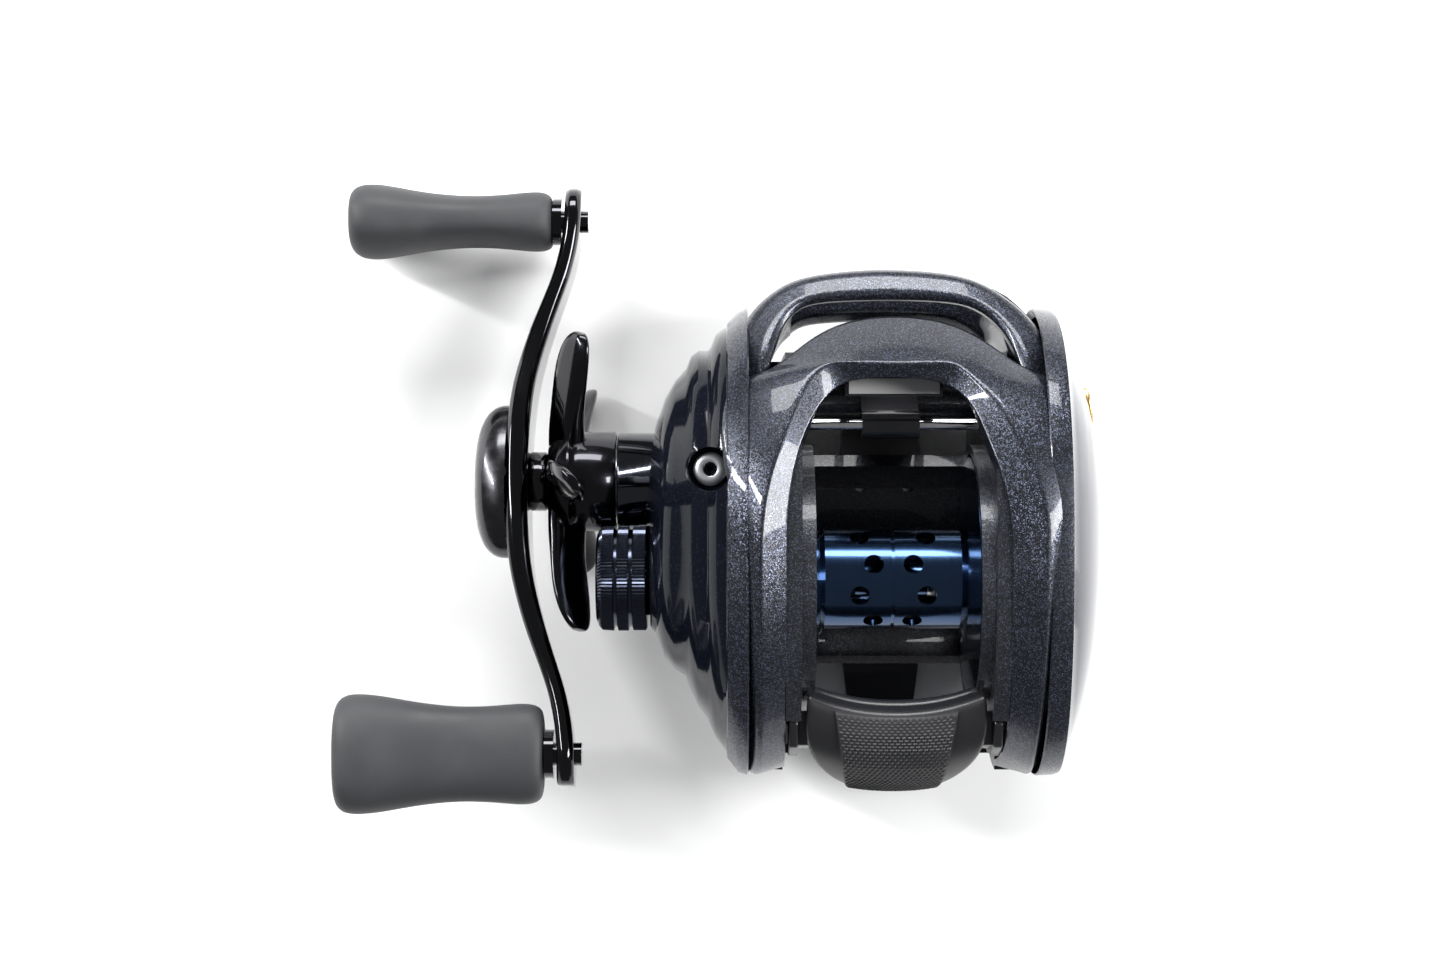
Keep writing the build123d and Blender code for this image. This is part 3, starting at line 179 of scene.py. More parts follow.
def make_tool_line_group():
    """Fine lines left by the tool: noise stretched by Lines, with a slow change of colour."""
    group, start, end = group_sockets(
        "tool_lines",
        [("Colour", "Color", (0.6, 0.6, 0.6, 1)), ("Dark", "Color", (0.3, 0.3, 0.3, 1)),
         ("Lines", "Vector", (9000.0, 200.0, 200.0)), ("Gloss", "Float", 0.25)],
        [("Colour", "Color"), ("Roughness", "Float"), ("Height", "Float")],
    )
    place = add_node(group, "TexCoord")
    drawn = add_node(group, "VectorMath", [(0, place.outputs["Object"]), (1, start.outputs["Lines"])],
                     operation="MULTIPLY")
    lines = add_node(group, "TexNoise", [("Vector", drawn.outputs[0])],
                     [("Scale", 1.0), ("Detail", 2.0)])
    stain = add_node(group, "TexNoise", [("Vector", place.outputs["Object"])],
                     [("Scale", 260.0), ("Detail", 4.0)])
    stained = add_node(group, "MapRange", [("Value", stain.outputs[0])],
                       [("From Min", 0.45), ("From Max", 0.8), ("To Min", 0.0), ("To Max", 0.6)])
    mixed = mixed_colour(group, stained.outputs[0], start.outputs["Colour"], start.outputs["Dark"])
    rough = varied_gloss(group, lines.outputs[0], start.outputs["Gloss"], 0.75, 1.3)
    group.links.new(mixed, end.inputs["Colour"])
    group.links.new(rough, end.inputs["Roughness"])
    group.links.new(lines.outputs[0], end.inputs["Height"])
    return group


tool_line_group = make_tool_line_group()


def add_bump(material, shader, height, depth):
    """Raise the surface by the height, up to depth metres."""
    bump = add_node(material.node_tree, "Bump", [("Height", height)],
                    [("Strength", 1.0), ("Distance", depth)])
    material.node_tree.links.new(bump.outputs[0], shader.inputs["Normal"])


def metal_finish(name, colour, gloss, lines=(9000.0, 250.0, 250.0), depth=2e-6, coat=0.0, dark=0.6):
    """Bare, plated or anodised metal with tool lines."""
    material, shader = new_finish(name, 1.0, coat)
    darker = [part * dark for part in colour]
    node = put_group(material, shader, tool_line_group, {
        "Colour": (*colour, 1), "Dark": (*darker, 1), "Lines": lines, "Gloss": gloss,
    })
    add_bump(material, shader, node.outputs["Height"], depth)
    return material


METALS = {
    "screw_steel": ((0.62, 0.63, 0.65), 0.22, ["foot_screws", "knob_screws", "nut_cover_screw",
                                               "spool_pin"]),
    "shaft_steel": ((0.66, 0.66, 0.68), 0.18, ["drive_shaft", "spool_shaft", "worm_shaft",
                                               "pawl", "handle_nut"]),
    "bearing_steel": ((0.7, 0.7, 0.72), 0.2, ["drive_shaft_bearings", "roller_clutch",
                                              "spool_bearing_gear", "spool_bearing_palm",
                                              "pinion_bearing", "knob_bearings_front",
                                              "knob_bearings_rear"]),
    "spring_steel": ((0.55, 0.55, 0.56), 0.3, ["yoke_springs", "drag_spring_washers",
                                               "brake_dial_clip"]),
    "plate_steel": ((0.58, 0.58, 0.6), 0.3, ["clutch_plate", "pressure_plate", "ratchet"]),
    "gear_brass": ((0.68, 0.5, 0.24), 0.26, ["main_gear", "clutch_sleeve", "pawl_cap"]),
    "pinion_brass": ((0.7, 0.52, 0.25), 0.24, ["pinion"]),
    "rotor_alloy": ((0.7, 0.7, 0.72), 0.28, ["brake_rotor"]),
    "magnet": ((0.6, 0.6, 0.62), 0.12, ["outer_magnet_ring", "inner_magnet_ring"]),
}
for metal_name, (metal_colour, metal_gloss, metal_parts) in METALS.items():
    metal = metal_finish(metal_name, metal_colour, metal_gloss)
    for part_name in metal_parts:
        finish_node(part_name, metal)

# ---- moulded parts ----
# The yoke, the small gears, the bushes and the brake housing are injection moulded in black or
# grey plastic, so they keep the mould's fine spark-eroded skin.


def make_skin_group():
    """Moulded skin: fine pits, a cloudy change of gloss, and a little pale dust."""
    group, start, end = group_sockets(
        "moulded_skin",
        [("Colour", "Color", (0.03, 0.03, 0.03, 1)), ("Dust", "Color", (0.2, 0.2, 0.2, 1)),
         ("Dust Share", "Float", 0.1), ("Grain", "Float", 4000.0), ("Gloss", "Float", 0.5)],
        [("Colour", "Color"), ("Roughness", "Float"), ("Height", "Float")],
    )
    place = add_node(group, "TexCoord")
    pits = add_node(group, "TexNoise", [("Vector", place.outputs["Object"])], [("Detail", 3.0)])
    group.links.new(start.outputs["Grain"], pits.inputs["Scale"])
    cloud = add_node(group, "TexNoise", [("Vector", place.outputs["Object"])],
                     [("Scale", 110.0), ("Detail", 5.0)])
    dusty = add_node(group, "MapRange", [("Value", cloud.outputs[0])],
                     [("From Min", 0.45), ("From Max", 0.75)])
    amount = add_node(group, "Math", [(0, dusty.outputs[0]), (1, start.outputs["Dust Share"])],
                      operation="MULTIPLY")
    mixed = mixed_colour(group, amount.outputs[0], start.outputs["Colour"], start.outputs["Dust"])
    rough = varied_gloss(group, cloud.outputs[0], start.outputs["Gloss"], 0.85, 1.15)
    group.links.new(mixed, end.inputs["Colour"])
    group.links.new(rough, end.inputs["Roughness"])
    group.links.new(pits.outputs[0], end.inputs["Height"])
    return group


skin_group = make_skin_group()


def moulded_finish(name, colour, gloss, grain=4000.0, depth=8e-6, dust=0.1, coat=0.0, specular=0.5):
    """Plastic or rubber with its moulded skin."""
    material, shader = new_finish(name, 0.0, coat, specular=specular)
    paler = [min(1.0, part * 1.6 + 0.04) for part in colour]
    node = put_group(material, shader, skin_group, {
        "Colour": (*colour, 1), "Dust": (*paler, 1), "Dust Share": dust, "Grain": grain,
        "Gloss": gloss,
    })
    add_bump(material, shader, node.outputs["Height"], depth)
    return material


PLASTICS = {
    "inner_black": ((0.03, 0.03, 0.03), 0.5, ["brake_housing", "clutch_yoke", "worm_bushes"]),
    "gear_plastic": ((0.12, 0.12, 0.12), 0.45, ["worm_drive_gear", "worm_gear"]),
    "drag_felt": ((0.05, 0.05, 0.05), 0.7, ["drag_washers"]),
}
for plastic_name, (plastic_colour, plastic_gloss, plastic_parts) in PLASTICS.items():
    plastic = moulded_finish(plastic_name, plastic_colour, plastic_gloss)
    for part_name in plastic_parts:
        finish_node(part_name, plastic)

# ---- foot ----
# The foot is a pressed and forged plate that the rod's seat clamps, sprayed satin black and
# screwed to the frame from below.
foot_black = moulded_finish("foot_metal", (0.022, 0.022, 0.026), 0.32, 2500.0, 4e-6, 0.05)
finish_node("reel_foot", foot_black)

# ---- spool ----
# The spool is turned from aluminium, bored with rows of holes to save weight, and anodised a
# deep blue that stays glossy.
spool_blue = metal_finish("spool_blue", (0.03, 0.065, 0.14), 0.18, (14000.0, 100.0, 100.0), 1.5e-6,
                          0.3, 0.75)
finish_node("spool", spool_blue)

# ---- side covers ----
# Two moulded side covers close the frame. Each starts with a strip in the frame's flake paint,
# then steps down to a gloss lacquered dome. The gear cover carries the two turned bosses, and a
# recess with a screw in its shoulder. The palm cover is open where the brake dial shows.
OUTLINE = [
    (16, 0.4), (29, 4.2), (37, 12), (39.2, 22), (35.6, 33), (28, 40.2), (17, 44.6), (5, 45.6),
    (-8, 44.4), (-19, 40), (-25.8, 32), (-27.4, 21.5), (-25, 11.5), (-17, 3.6), (-6, 0.5), (5, 0.3),
]
OUTLINE_MID = (5.9, 22.95)
DRIVE_AHEAD = 13.5
DRIVE_Z = 18.6


def outline_loop(steps_each):
    """The side outline as a smooth closed loop of (ahead, z), by Catmull-Rom curves."""
    loop = []
    count = len(OUTLINE)
    for k in range(count):
        before, start, end, after = (OUTLINE[(k + shift) % count] for shift in (-1, 0, 1, 2))
        for step in range(steps_each):
            t = step / steps_each
            point = []
            for p0, p1, p2, p3 in zip(before, start, end, after):
                point.append(0.5 * (2 * p1 + (p2 - p0) * t + (2 * p0 - 5 * p1 + 4 * p2 - p3) * t ** 2
                                    + (3 * p1 - p0 - 3 * p2 + p3) * t ** 3))
            loop.append(tuple(point))
    return loop


def mesh_piece(name, points, faces, materials, creases=None, levels=0):
    """A smooth mesh piece from points in mm; creases maps a pair of points to a sharpness."""
    mesh = bpy.data.meshes.new(name)
    shape = bmesh.new()
    corners = [shape.verts.new([part * MM for part in point]) for point in points]
    for face in faces:
        shape.faces.new([corners[k] for k in face])
    shape.edges.index_update()
    layer = shape.edges.layers.float.new("crease_edge")
    for (first, second), sharpness in (creases or {}).items():
        edge = shape.edges.get((corners[first], corners[second]))
        if edge:
            edge[layer] = sharpness
    bmesh.ops.recalc_face_normals(shape, faces=shape.faces)
    for face in shape.faces:
        face.smooth = True
    shape.to_mesh(mesh)
    shape.free()
    for material in materials:
        mesh.materials.append(material)
    piece = bpy.data.objects.new(name, mesh)
    bpy.context.scene.collection.objects.link(piece)
    if levels:
        smooth = piece.modifiers.new("smooth", "SUBSURF")
        smooth.levels = smooth.render_levels = levels
    return piece


def ring_faces(rows, count, closed=False, first=0):
    """Quads between neighbouring rings of equal point counts."""
    faces = []
    for row in range(rows if closed else rows - 1):
        after = (row + 1) % rows
        for column in range(count):
            side = (column + 1) % count
            faces.append(tuple(first + k for k in (
                row * count + column, row * count + side, after * count + side, after * count + column)))
    return faces


def keep_body(piece, body, slot_name, *replaced):
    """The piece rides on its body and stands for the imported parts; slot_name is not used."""
    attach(piece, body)
    if replaced:
        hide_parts(*replaced)
    return piece


def apply_modifiers(piece):
    """Keep the result of a piece's modifiers as its mesh."""
    graph = bpy.context.evaluated_depsgraph_get()
    graph.update()
    result = bpy.data.meshes.new_from_object(piece.evaluated_get(graph))
    piece.modifiers.clear()
    piece.data = result


SHARP_ANGLE = 32  # degrees between faces, over which a cut edge stays crisp


def cut_away(piece, cutter):
    """Cut one closed mesh out of another, and remove the cutter."""
    cut = piece.modifiers.new("cut", "BOOLEAN")
    cut.operation = "DIFFERENCE"
    cut.solver = "EXACT"
    cut.object = cutter
    apply_modifiers(piece)
    piece.data.set_sharp_from_angle(angle=math.radians(SHARP_ANGLE))
    bpy.data.objects.remove(cutter)


def lathe_points(profile, ahead, z, count):
    """Rings of points about the X line through (ahead, z), one for each (x, radius)."""
    points = []
    for x, radius in profile:
        for k in range(count):
            turn = 2 * math.pi * k / count
            points.append((x, SPOOL_Y + ahead + radius * math.cos(turn), z + radius * math.sin(turn)))
    return points


COVER_WALL = 1.3
SWELL_START = 1.5  # how far past the flake strip a boss starts to lift the dome, in mm
LOOP_STEPS = 8


def dome_piece(name, stations, materials, flake_edge, swell=()):
    """A domed cover through scaled side outlines; swell lifts it round each boss."""
    loop = outline_loop(LOOP_STEPS)
    points = []
    for x, share_a, mid_a, share_z, mid_z in stations:
        for ahead, z in loop:
            a = mid_a + (ahead - OUTLINE_MID[0]) * share_a
            height = mid_z + (z - OUTLINE_MID[1]) * share_z
            out = x
            for boss_a, boss_z, radius, rise in swell:
                distance = math.hypot(a - boss_a, height - boss_z) / radius
                if abs(x) > abs(flake_edge) + SWELL_START:
                    out -= rise * math.exp(-distance ** 2)
            points.append((out, SPOOL_Y + a, height))
    faces = ring_faces(len(stations), len(loop))
    last = len(stations) - 1
    faces.append(tuple(last * len(loop) + k for k in range(len(loop))))
    piece = mesh_piece(name, points, faces, materials)
    for face in piece.data.polygons:
        middle = sum(abs(piece.data.vertices[k].co.x) for k in face.vertices) / len(face.vertices)
        face.material_index = 0 if middle < abs(flake_edge) * MM else 1
    wall = piece.modifiers.new("wall", "SOLIDIFY")
    wall.thickness = COVER_WALL * MM
    wall.offset = -1
    apply_modifiers(piece)
    return piece


flake_paint = flake_finish("flake_paint", (0.013, 0.0135, 0.018), (0.085, 0.1, 0.15), 8500.0, 0.34,
                           0.2, 0.3, 0.6, 0.35)
gear_cover_gloss = flake_finish("gear_cover_gloss", (0.004, 0.005, 0.009), (0.014, 0.017, 0.03),
                                6000.0, 0.08, 0.02, 0.1, 0.1, 0.5)
palm_cover_gloss = flake_finish("palm_cover_gloss", (0.02, 0.022, 0.032), (0.05, 0.06, 0.09),
                                6000.0, 0.12, 0.03, 0.14, 0.3, 1.0)
# The gear cover's lacquer reflects more weakly than the palm cover's, so it stays nearly black.
cover_shader = gear_cover_gloss.node_tree.nodes["Principled BSDF"]
cover_shader.inputs["Specular IOR Level"].default_value = 0.12
cover_shader.inputs["Coat IOR"].default_value = 1.22
# Each station is (x, share of the outline along Y, its middle ahead, share in height, its middle z).
GEAR_DOME = [
    (-19.95, 0.975, 5.2, 0.974, 22.3), (-20.15, 0.984, 5.2, 0.98, 22.35),
    (-21.3, 0.968, 5.1, 0.962, 22.5), (-22.8, 0.915, 5.3, 0.92, 22.8),
    (-23.0, 0.89, 5.5, 0.9, 22.7), (-23.6, 0.875, 5.8, 0.89, 22.6), (-24.4, 0.85, 6.0, 0.865, 22.4),
    (-25.1, 0.80, 5.8, 0.83, 22.3), (-25.5, 0.775, 6.1, 0.80, 22.2), (-26.8, 0.75, 7.0, 0.785, 22.0),
    (-27.9, 0.70, 7.8, 0.75, 21.8), (-28.5, 0.65, 7.8, 0.71, 21.6), (-29.9, 0.61, 7.5, 0.67, 21.5),
    (-31.2, 0.55, 7.0, 0.61, 21.4), (-32.1, 0.45, 6.6, 0.52, 21.4), (-32.55, 0.3, 6.2, 0.36, 21.5),
    (-32.7, 0.12, 6.0, 0.16, 21.6),
]
gear_cover = dome_piece(
    "gear_cover_shell", GEAR_DOME, [flake_paint, gear_cover_gloss], -22.9,
    [(DRIVE_AHEAD, DRIVE_Z, 10.0, 1.6), (0, SPOOL_Z, 9.5, 1.2)],
)
RECESS = (-25.2, SPOOL_Y + 15.2)  # the middle of the recess, as (x, Y)
RECESS_R = 2.95
AROUND = 40  # points round the recess
TURNED_AROUND = 64


def upright_rings(profile, count):
    """Rings of points about the recess's upright axis, one for each (radius, z)."""
    points = []
    for radius, z in profile:
        for k in range(count):
            turn = 2 * math.pi * k / count
            points.append((RECESS[0] + radius * math.cos(turn), RECESS[1] + radius * math.sin(turn), z))
    return points


def drum_cutter(name, points, material):
    """A closed drum through two rings of points, as a cutter."""
    count = len(points) // 2
    faces = ring_faces(2, count) + [tuple(range(count)), tuple(range(count, 2 * count))]
    return mesh_piece(name, points, faces, [material])


RAY_START = 0.1  # metres from the middle, well outside the reel


def cover_height(x, y):
    """The height of the gear cover's outer face over a place, in mm."""
    hit, place, _, _ = gear_cover.ray_cast((x * MM, y * MM, RAY_START), (0, 0, -1))
    assert hit, "the recess must lie on the cover"
    return place[2] / MM


def cover_reach(ahead, z):
    """The x of the gear cover's outer face at a place on the side, in mm."""
    hit, place, _, _ = gear_cover.ray_cast((-RAY_START, (SPOOL_Y + ahead) * MM, z * MM), (1, 0, 0))
    assert hit, "the screw must lie on the cover"
    return place[0] / MM


RIM_TOPS = [cover_height(x, y) for x, y, _ in upright_rings([(RECESS_R, 0)], AROUND)]
# Each screw is (ahead, z, how far it stands proud); the one above lies under the dome.
SCREW_PLACES = [(26.5, 6.0, 0.35), (-17.5, 10.5, 0.35), (-3.0, 36.3, -1.6)]
SCREW_REACH = [cover_reach(ahead, z) - proud for ahead, z, proud in SCREW_PLACES]
for cutter_name, cutter_points in (
        ("recess_cutter", upright_rings([(RECESS_R, 33.0), (RECESS_R, 50.0)], AROUND)),
        ("pinion_cutter", lathe_points([(-45.0, 4.8), (-21.0, 4.8)], 0, SPOOL_Z, TURNED_AROUND)),
        ("drive_cutter", lathe_points([(-45.0, 6.0), (-25.2, 6.0)], DRIVE_AHEAD, DRIVE_Z,
                                      TURNED_AROUND))):
    cut_away(gear_cover, drum_cutter(cutter_name, cutter_points, gear_cover_gloss))
keep_body(gear_cover, "reel_body", "gear_cover_gloss", "gear_side_cover")


def cup_piece(name, profile, material):
    """A turned cup in the recess, from a closed loop of (radius, z)."""
    return mesh_piece(name, upright_rings(profile, AROUND),
                      ring_faces(len(profile), AROUND, closed=True), [material])


screw_steel = bpy.data.materials["screw_steel"]
RECESS_FLOOR = min(RIM_TOPS) - 1.5
recess_cup = cup_piece("screw_recess", [
    (0.3, RECESS_FLOOR), (2.6, RECESS_FLOOR), (RECESS_R, RECESS_FLOOR + 0.3),
    (RECESS_R, RECESS_FLOOR + 0.6), (RECESS_R + 0.4, RECESS_FLOOR + 0.6),
    (RECESS_R + 0.4, RECESS_FLOOR - 0.5), (0.3, RECESS_FLOOR - 0.6)],
    gear_cover_gloss)
CUP_RIM_RINGS = (3, 4)  # these rings of the cup follow the dome's face
RIM_SUNK = 0.25
for k, top in enumerate(RIM_TOPS):
    for ring in CUP_RIM_RINGS:
        recess_cup.data.vertices[ring * AROUND + k].co.z = (top - RIM_SUNK) * MM
keep_body(recess_cup, "reel_body", "gear_cover_gloss")
recess_screw = cup_piece("recess_screw", [
    (0.95, RECESS_FLOOR - 0.2), (0.95, RECESS_FLOOR + 0.9), (1.1, RECESS_FLOOR + 1.0),
    (1.9, RECESS_FLOOR + 0.9), (2.25, RECESS_FLOOR + 0.6), (2.3, RECESS_FLOOR + 0.1),
    (2.3, RECESS_FLOOR - 0.2)], screw_steel)
keep_body(recess_screw, "reel_body", "screw_steel")


def turned_piece(name, profile, ahead, z, material, count=TURNED_AROUND):
    """A turned part about an X line, from a closed loop of (x, radius)."""
    points = lathe_points(profile, ahead, z, count)
    return mesh_piece(name, points, ring_faces(len(profile), count, closed=True), [material])


SCREW_AROUND = 36
SCREW_PROFILE = [(0.1, 0.9), (0, 1.05), (0, 1.7), (0.35, 2.05), (1.0, 2.1), (1.0, 1.3), (3.0, 1.3),
                 (3.0, 0.5), (1.2, 0.5), (1.2, 0.9)]
cover_screws = []
for number, ((ahead, z, _), reach) in enumerate(zip(SCREW_PLACES, SCREW_REACH)):
    cover_screws.append(turned_piece(
        f"cover_screw_{number}", [(reach + depth, radius) for depth, radius in SCREW_PROFILE],
        ahead, z, screw_steel, SCREW_AROUND))
    keep_body(cover_screws[-1], "reel_body", "screw_steel")
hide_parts("gear_cover_screws")
boss_polish = metal_finish("boss_polish", (0.045, 0.048, 0.06), 0.1, coat=0.5)
drive_boss = turned_piece("drive_boss", [
    (-28.0, 6.2), (-28.0, 11.0), (-30.0, 10.6), (-31.3, 9.6), (-32.2, 8.0), (-32.5, 7.3), (-32.7, 6.9),
    (-38.05, 6.9), (-38.25, 6.75), (-38.3, 6.5), (-38.3, 5.5), (-37.0, 5.5), (-37.0, 6.2)],
    DRIVE_AHEAD, DRIVE_Z, boss_polish)
keep_body(drive_boss, "reel_body", "gear_cover_gloss")
knob_boss = turned_piece("tension_boss", [
    (-28.0, 4.5), (-28.0, 10.0), (-30.5, 9.2), (-32.2, 8.2), (-33.2, 7.3), (-33.5, 7.0), (-33.6, 5.2),
    (-38.0, 5.0), (-38.0, 4.5)], 0, SPOOL_Z, gear_cover_gloss)
keep_body(knob_boss, "reel_body", "gear_cover_gloss")

PALM_DOME = [
    (19.95, 0.978, 5.15, 0.974, 22.3), (20.15, 0.984, 5.15, 0.98, 22.3),
    (22.3, 0.98, 5.12, 0.976, 22.3), (22.95, 0.972, 5.05, 0.968, 22.35),
    (23.15, 0.915, 4.95, 0.925, 22.6), (23.9, 0.865, 4.7, 0.89, 22.7), (25.2, 0.78, 4.9, 0.81, 22.7),
    (26.2, 0.70, 5.4, 0.73, 22.6), (27.0, 0.615, 5.8, 0.645, 22.5), (27.8, 0.50, 6.1, 0.53, 22.5),
    (28.4, 0.39, 6.3, 0.42, 22.5), (29.0, 0.27, 6.2, 0.29, 22.5), (29.4, 0.16, 6.0, 0.17, 22.5),
    (29.55, 0.06, 5.9, 0.06, 22.5),
]
palm_cover = dome_piece("palm_cover_shell", PALM_DOME, [flake_paint, palm_cover_gloss], 22.7)
DIAL_AHEAD = 20.1
DIAL_Z = 22.0
WINDOW_R = 6.85
WINDOW_TURNS = range(-98, 99, 4)  # degrees from straight ahead; the window ends in a chord
window_points = [
    (x, SPOOL_Y + DIAL_AHEAD + WINDOW_R * math.cos(math.radians(turn)),
     DIAL_Z + WINDOW_R * math.sin(math.radians(turn)))
    for x in (22.0, 33.0) for turn in WINDOW_TURNS
]
cut_away(palm_cover, drum_cutter("dial_cutter", window_points, palm_cover_gloss))
keep_body(palm_cover, "palm_side", "palm_cover_gloss", "palm_side_cover")
POST_RADIUS = 18.9
HOUSING_SCREW = [(22.95, 0.3), (22.95, 0.8), (23.6, 0.8), (23.8, 0.6), (23.8, 0.3)]
housing_screws = []
for number, degrees in enumerate((150, 210, 300)):
    turn = math.radians(degrees)
    housing_screws.append(turned_piece(
        f"housing_screw_{number}", HOUSING_SCREW, POST_RADIUS * math.cos(turn),
        SPOOL_Z + POST_RADIUS * math.sin(turn), screw_steel, SCREW_AROUND))
    keep_body(housing_screws[-1], "palm_side", "screw_steel")
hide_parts("housing_screws")

# ---- brake dial ----
# The dial that sets the magnets is anodised satin gold, and its knurled rim shows in the cover.
KNURLS = 96
KNURL_DEEP = 0.16


def knurled_piece(name, profile, ahead, z, material):
    """A turned ring about an X line, from a closed loop of (x, radius, 1 where it is knurled)."""
    points = []
    for x, radius, knurled in profile:
        for k in range(KNURLS * 2):
            turn = math.pi * k / KNURLS
            reach = radius - KNURL_DEEP * knurled * (k % 2)
            points.append((x, SPOOL_Y + ahead + reach * math.cos(turn), z + reach * math.sin(turn)))
    piece = mesh_piece(name, points, ring_faces(len(profile), KNURLS * 2, closed=True), [material])
    for face in piece.data.polygons:
        face.use_smooth = False
    return piece


gold_dial = metal_finish("gold_dial", (0.62, 0.45, 0.2), 0.3)
DIAL_PROFILE = [
    (25.9, 0.6, 0), (25.9, 5.9, 0), (26.0, 6.3, 0), (26.2, 6.55, 1), (27.55, 6.55, 1),
    (27.8, 6.25, 0), (27.9, 5.8, 0), (27.9, 0.6, 0),
]
brake_dial = knurled_piece("brake_dial_knurled", DIAL_PROFILE, DIAL_AHEAD, DIAL_Z, gold_dial)
keep_body(brake_dial, "brake_dial", "gold_dial", "brake_dial")

# ---- top cover ----
# The horseshoe cover is moulded, sprayed with coarse gunmetal flake and clear coated. It has a
# crest all round its opening, with a bevel down to the opening's edge. Each row is (outer edge,
# crest, inner edge) as (x, ahead, z), from the left tail to the right.
TOP_ROWS = [
    ((-19.9, -27.3, 20.1), (-18.2, -27.65, 20.1), (-14.9, -26.7, 20.1)),
    ((-19.9, -27.0, 25.0), (-18.2, -27.4, 25.0), (-14.9, -26.5, 24.8)),
    ((-19.9, -25.3, 31.2), (-18.2, -26.0, 32.0), (-14.9, -25.0, 30.7)),
    ((-19.9, -18.7, 38.8), (-18.2, -19.2, 40.0), (-14.9, -18.4, 38.4)),
    ((-19.9, -8.0, 43.4), (-18.2, -8.0, 44.4), (-14.9, -8.0, 42.8)),
    ((-19.9, 3.0, 44.5), (-18.4, 3.0, 45.5), (-15.0, 3.0, 43.9)),
    ((-21.6, 10.0, 43.4), (-18.3, 10.0, 45.2), (-15.0, 10.0, 43.9)),
    ((-23.6, 16.5, 41.9), (-16.4, 17.1, 44.5), (-13.9, 16.5, 43.2)),
    ((-23.7, 23.3, 39.6), (-13.4, 24.6, 41.8), (-12.3, 20.8, 41.8)),
    ((-22.1, 27.6, 37.2), (-11.6, 28.2, 40.0), (-10.6, 23.8, 40.4)),
    ((-17.4, 28.0, 36.6), (-8.9, 29.7, 39.3), (-8.6, 25.9, 38.9)),
    ((-12.7, 32.2, 34.8), (-6.3, 29.5, 39.5), (-6.5, 27.1, 38.3)),
    ((-7.6, 35.5, 32.8), (-3.3, 29.4, 39.6), (-3.4, 27.4, 38.3)),
    ((0.0, 36.5, 31.8), (0.0, 29.2, 39.7), (0.0, 27.5, 38.3)),
    ((7.3, 35.6, 32.8), (4.6, 29.4, 39.5), (4.3, 27.2, 38.3)),
    ((12.9, 32.4, 34.4), (7.6, 29.6, 39.3), (7.0, 26.3, 38.8)),
    ((17.2, 28.6, 36.2), (9.8, 27.6, 40.2), (8.4, 25.4, 39.6)),
    ((21.7, 27.6, 37.0), (12.9, 24.7, 41.8), (10.2, 23.2, 41.0)),
    ((23.2, 23.4, 39.6), (15.6, 19.9, 43.4), (11.4, 20.0, 42.2)),
    ((23.0, 17.8, 41.6), (17.8, 15.7, 44.4), (13.0, 15.7, 43.4)),
    ((22.9, 10.4, 43.6), (19.4, 10.4, 45.2), (14.6, 10.4, 44.0)),
    ((20.4, 3.0, 44.6), (19.2, 3.0, 45.5), (14.9, 3.0, 43.9)),
    ((19.9, -8.0, 43.5), (18.9, -8.0, 44.4), (14.9, -8.0, 42.8)),
    ((19.8, -18.7, 38.9), (18.7, -19.2, 40.0), (14.9, -18.4, 38.4)),
    ((19.8, -25.1, 31.3), (18.6, -25.8, 32.0), (14.9, -24.4, 30.9)),
    ((19.8, -27.0, 25.0), (18.6, -27.3, 25.0), (14.9, -26.2, 24.8)),
    ((19.8, -27.3, 20.1), (18.6, -27.65, 20.1), (14.9, -26.7, 20.1)),
]
TOP_MID = (5.0, 22.0)  # what the cover's thickness points towards, as (ahead, z)


def sunk(point, depth):
    """A (x, ahead, z) point moved towards the middle of the reel."""
    x, ahead, z = point
    way_a, way_z = TOP_MID[0] - ahead, TOP_MID[1] - z
    length = math.hypot(way_a, way_z)
    return x, ahead + way_a / length * depth, z + way_z / length * depth


def ring_skin(name, rings, material, sharp, levels, end_sharp=0.9):
    """A closed skin through rings; sharp maps a point's place in the ring to its crease."""
    count = len(rings[0])
    points = [point for ring in rings for point in ring]
    faces = ring_faces(len(rings), count)
    last = (len(rings) - 1) * count
    faces += [tuple(range(count)), tuple(last + k for k in range(count))]
    creases = {}
    for row in range(len(rings) - 1):
        for column, sharpness in sharp.items():
            creases[(row * count + column, (row + 1) * count + column)] = sharpness
    for column in range(count):
        side = (column + 1) % count
        creases[(column, side)] = end_sharp
        creases[(last + column, last + side)] = end_sharp
    return mesh_piece(name, points, faces, [material], creases, levels)


TAIL_AHEAD = -12  # behind this place the wall is thinner, to clear the clutch plate
BRIDGE_AHEAD = 23  # ahead of this place the wall drops straight down
WALL_DROP = 2.6
TAIL_DROP = 0.9
top_rings = []
for outer, crest, inner in TOP_ROWS:
    swell = tuple((first + second) / 2 for first, second in zip(outer, crest))
    bevel = tuple(first * 0.35 + second * 0.65 for first, second in zip(crest, inner))
    if inner[1] > BRIDGE_AHEAD:
        under = (inner[0], inner[1] + 0.3, inner[2] - WALL_DROP)
    else:
        under = sunk(inner, WALL_DROP if inner[1] > TAIL_AHEAD else TAIL_DROP)
    outer_sunk = sunk(outer, 1.6 if outer[1] > TAIL_AHEAD else 1.0)
    ring = [outer_sunk, outer, sunk(swell, -0.45), crest, bevel, inner, under]
    top_rings.append([(x, SPOOL_Y + ahead, z) for x, ahead, z in ring])
top_cover = ring_skin("top_cover_skin", top_rings, flake_paint,
                      {0: 1.0, 1: 0.9, 3: 0.55, 5: 0.8, 6: 1.0}, 3)
keep_body(top_cover, "reel_body", "flake_paint", "top_cover")

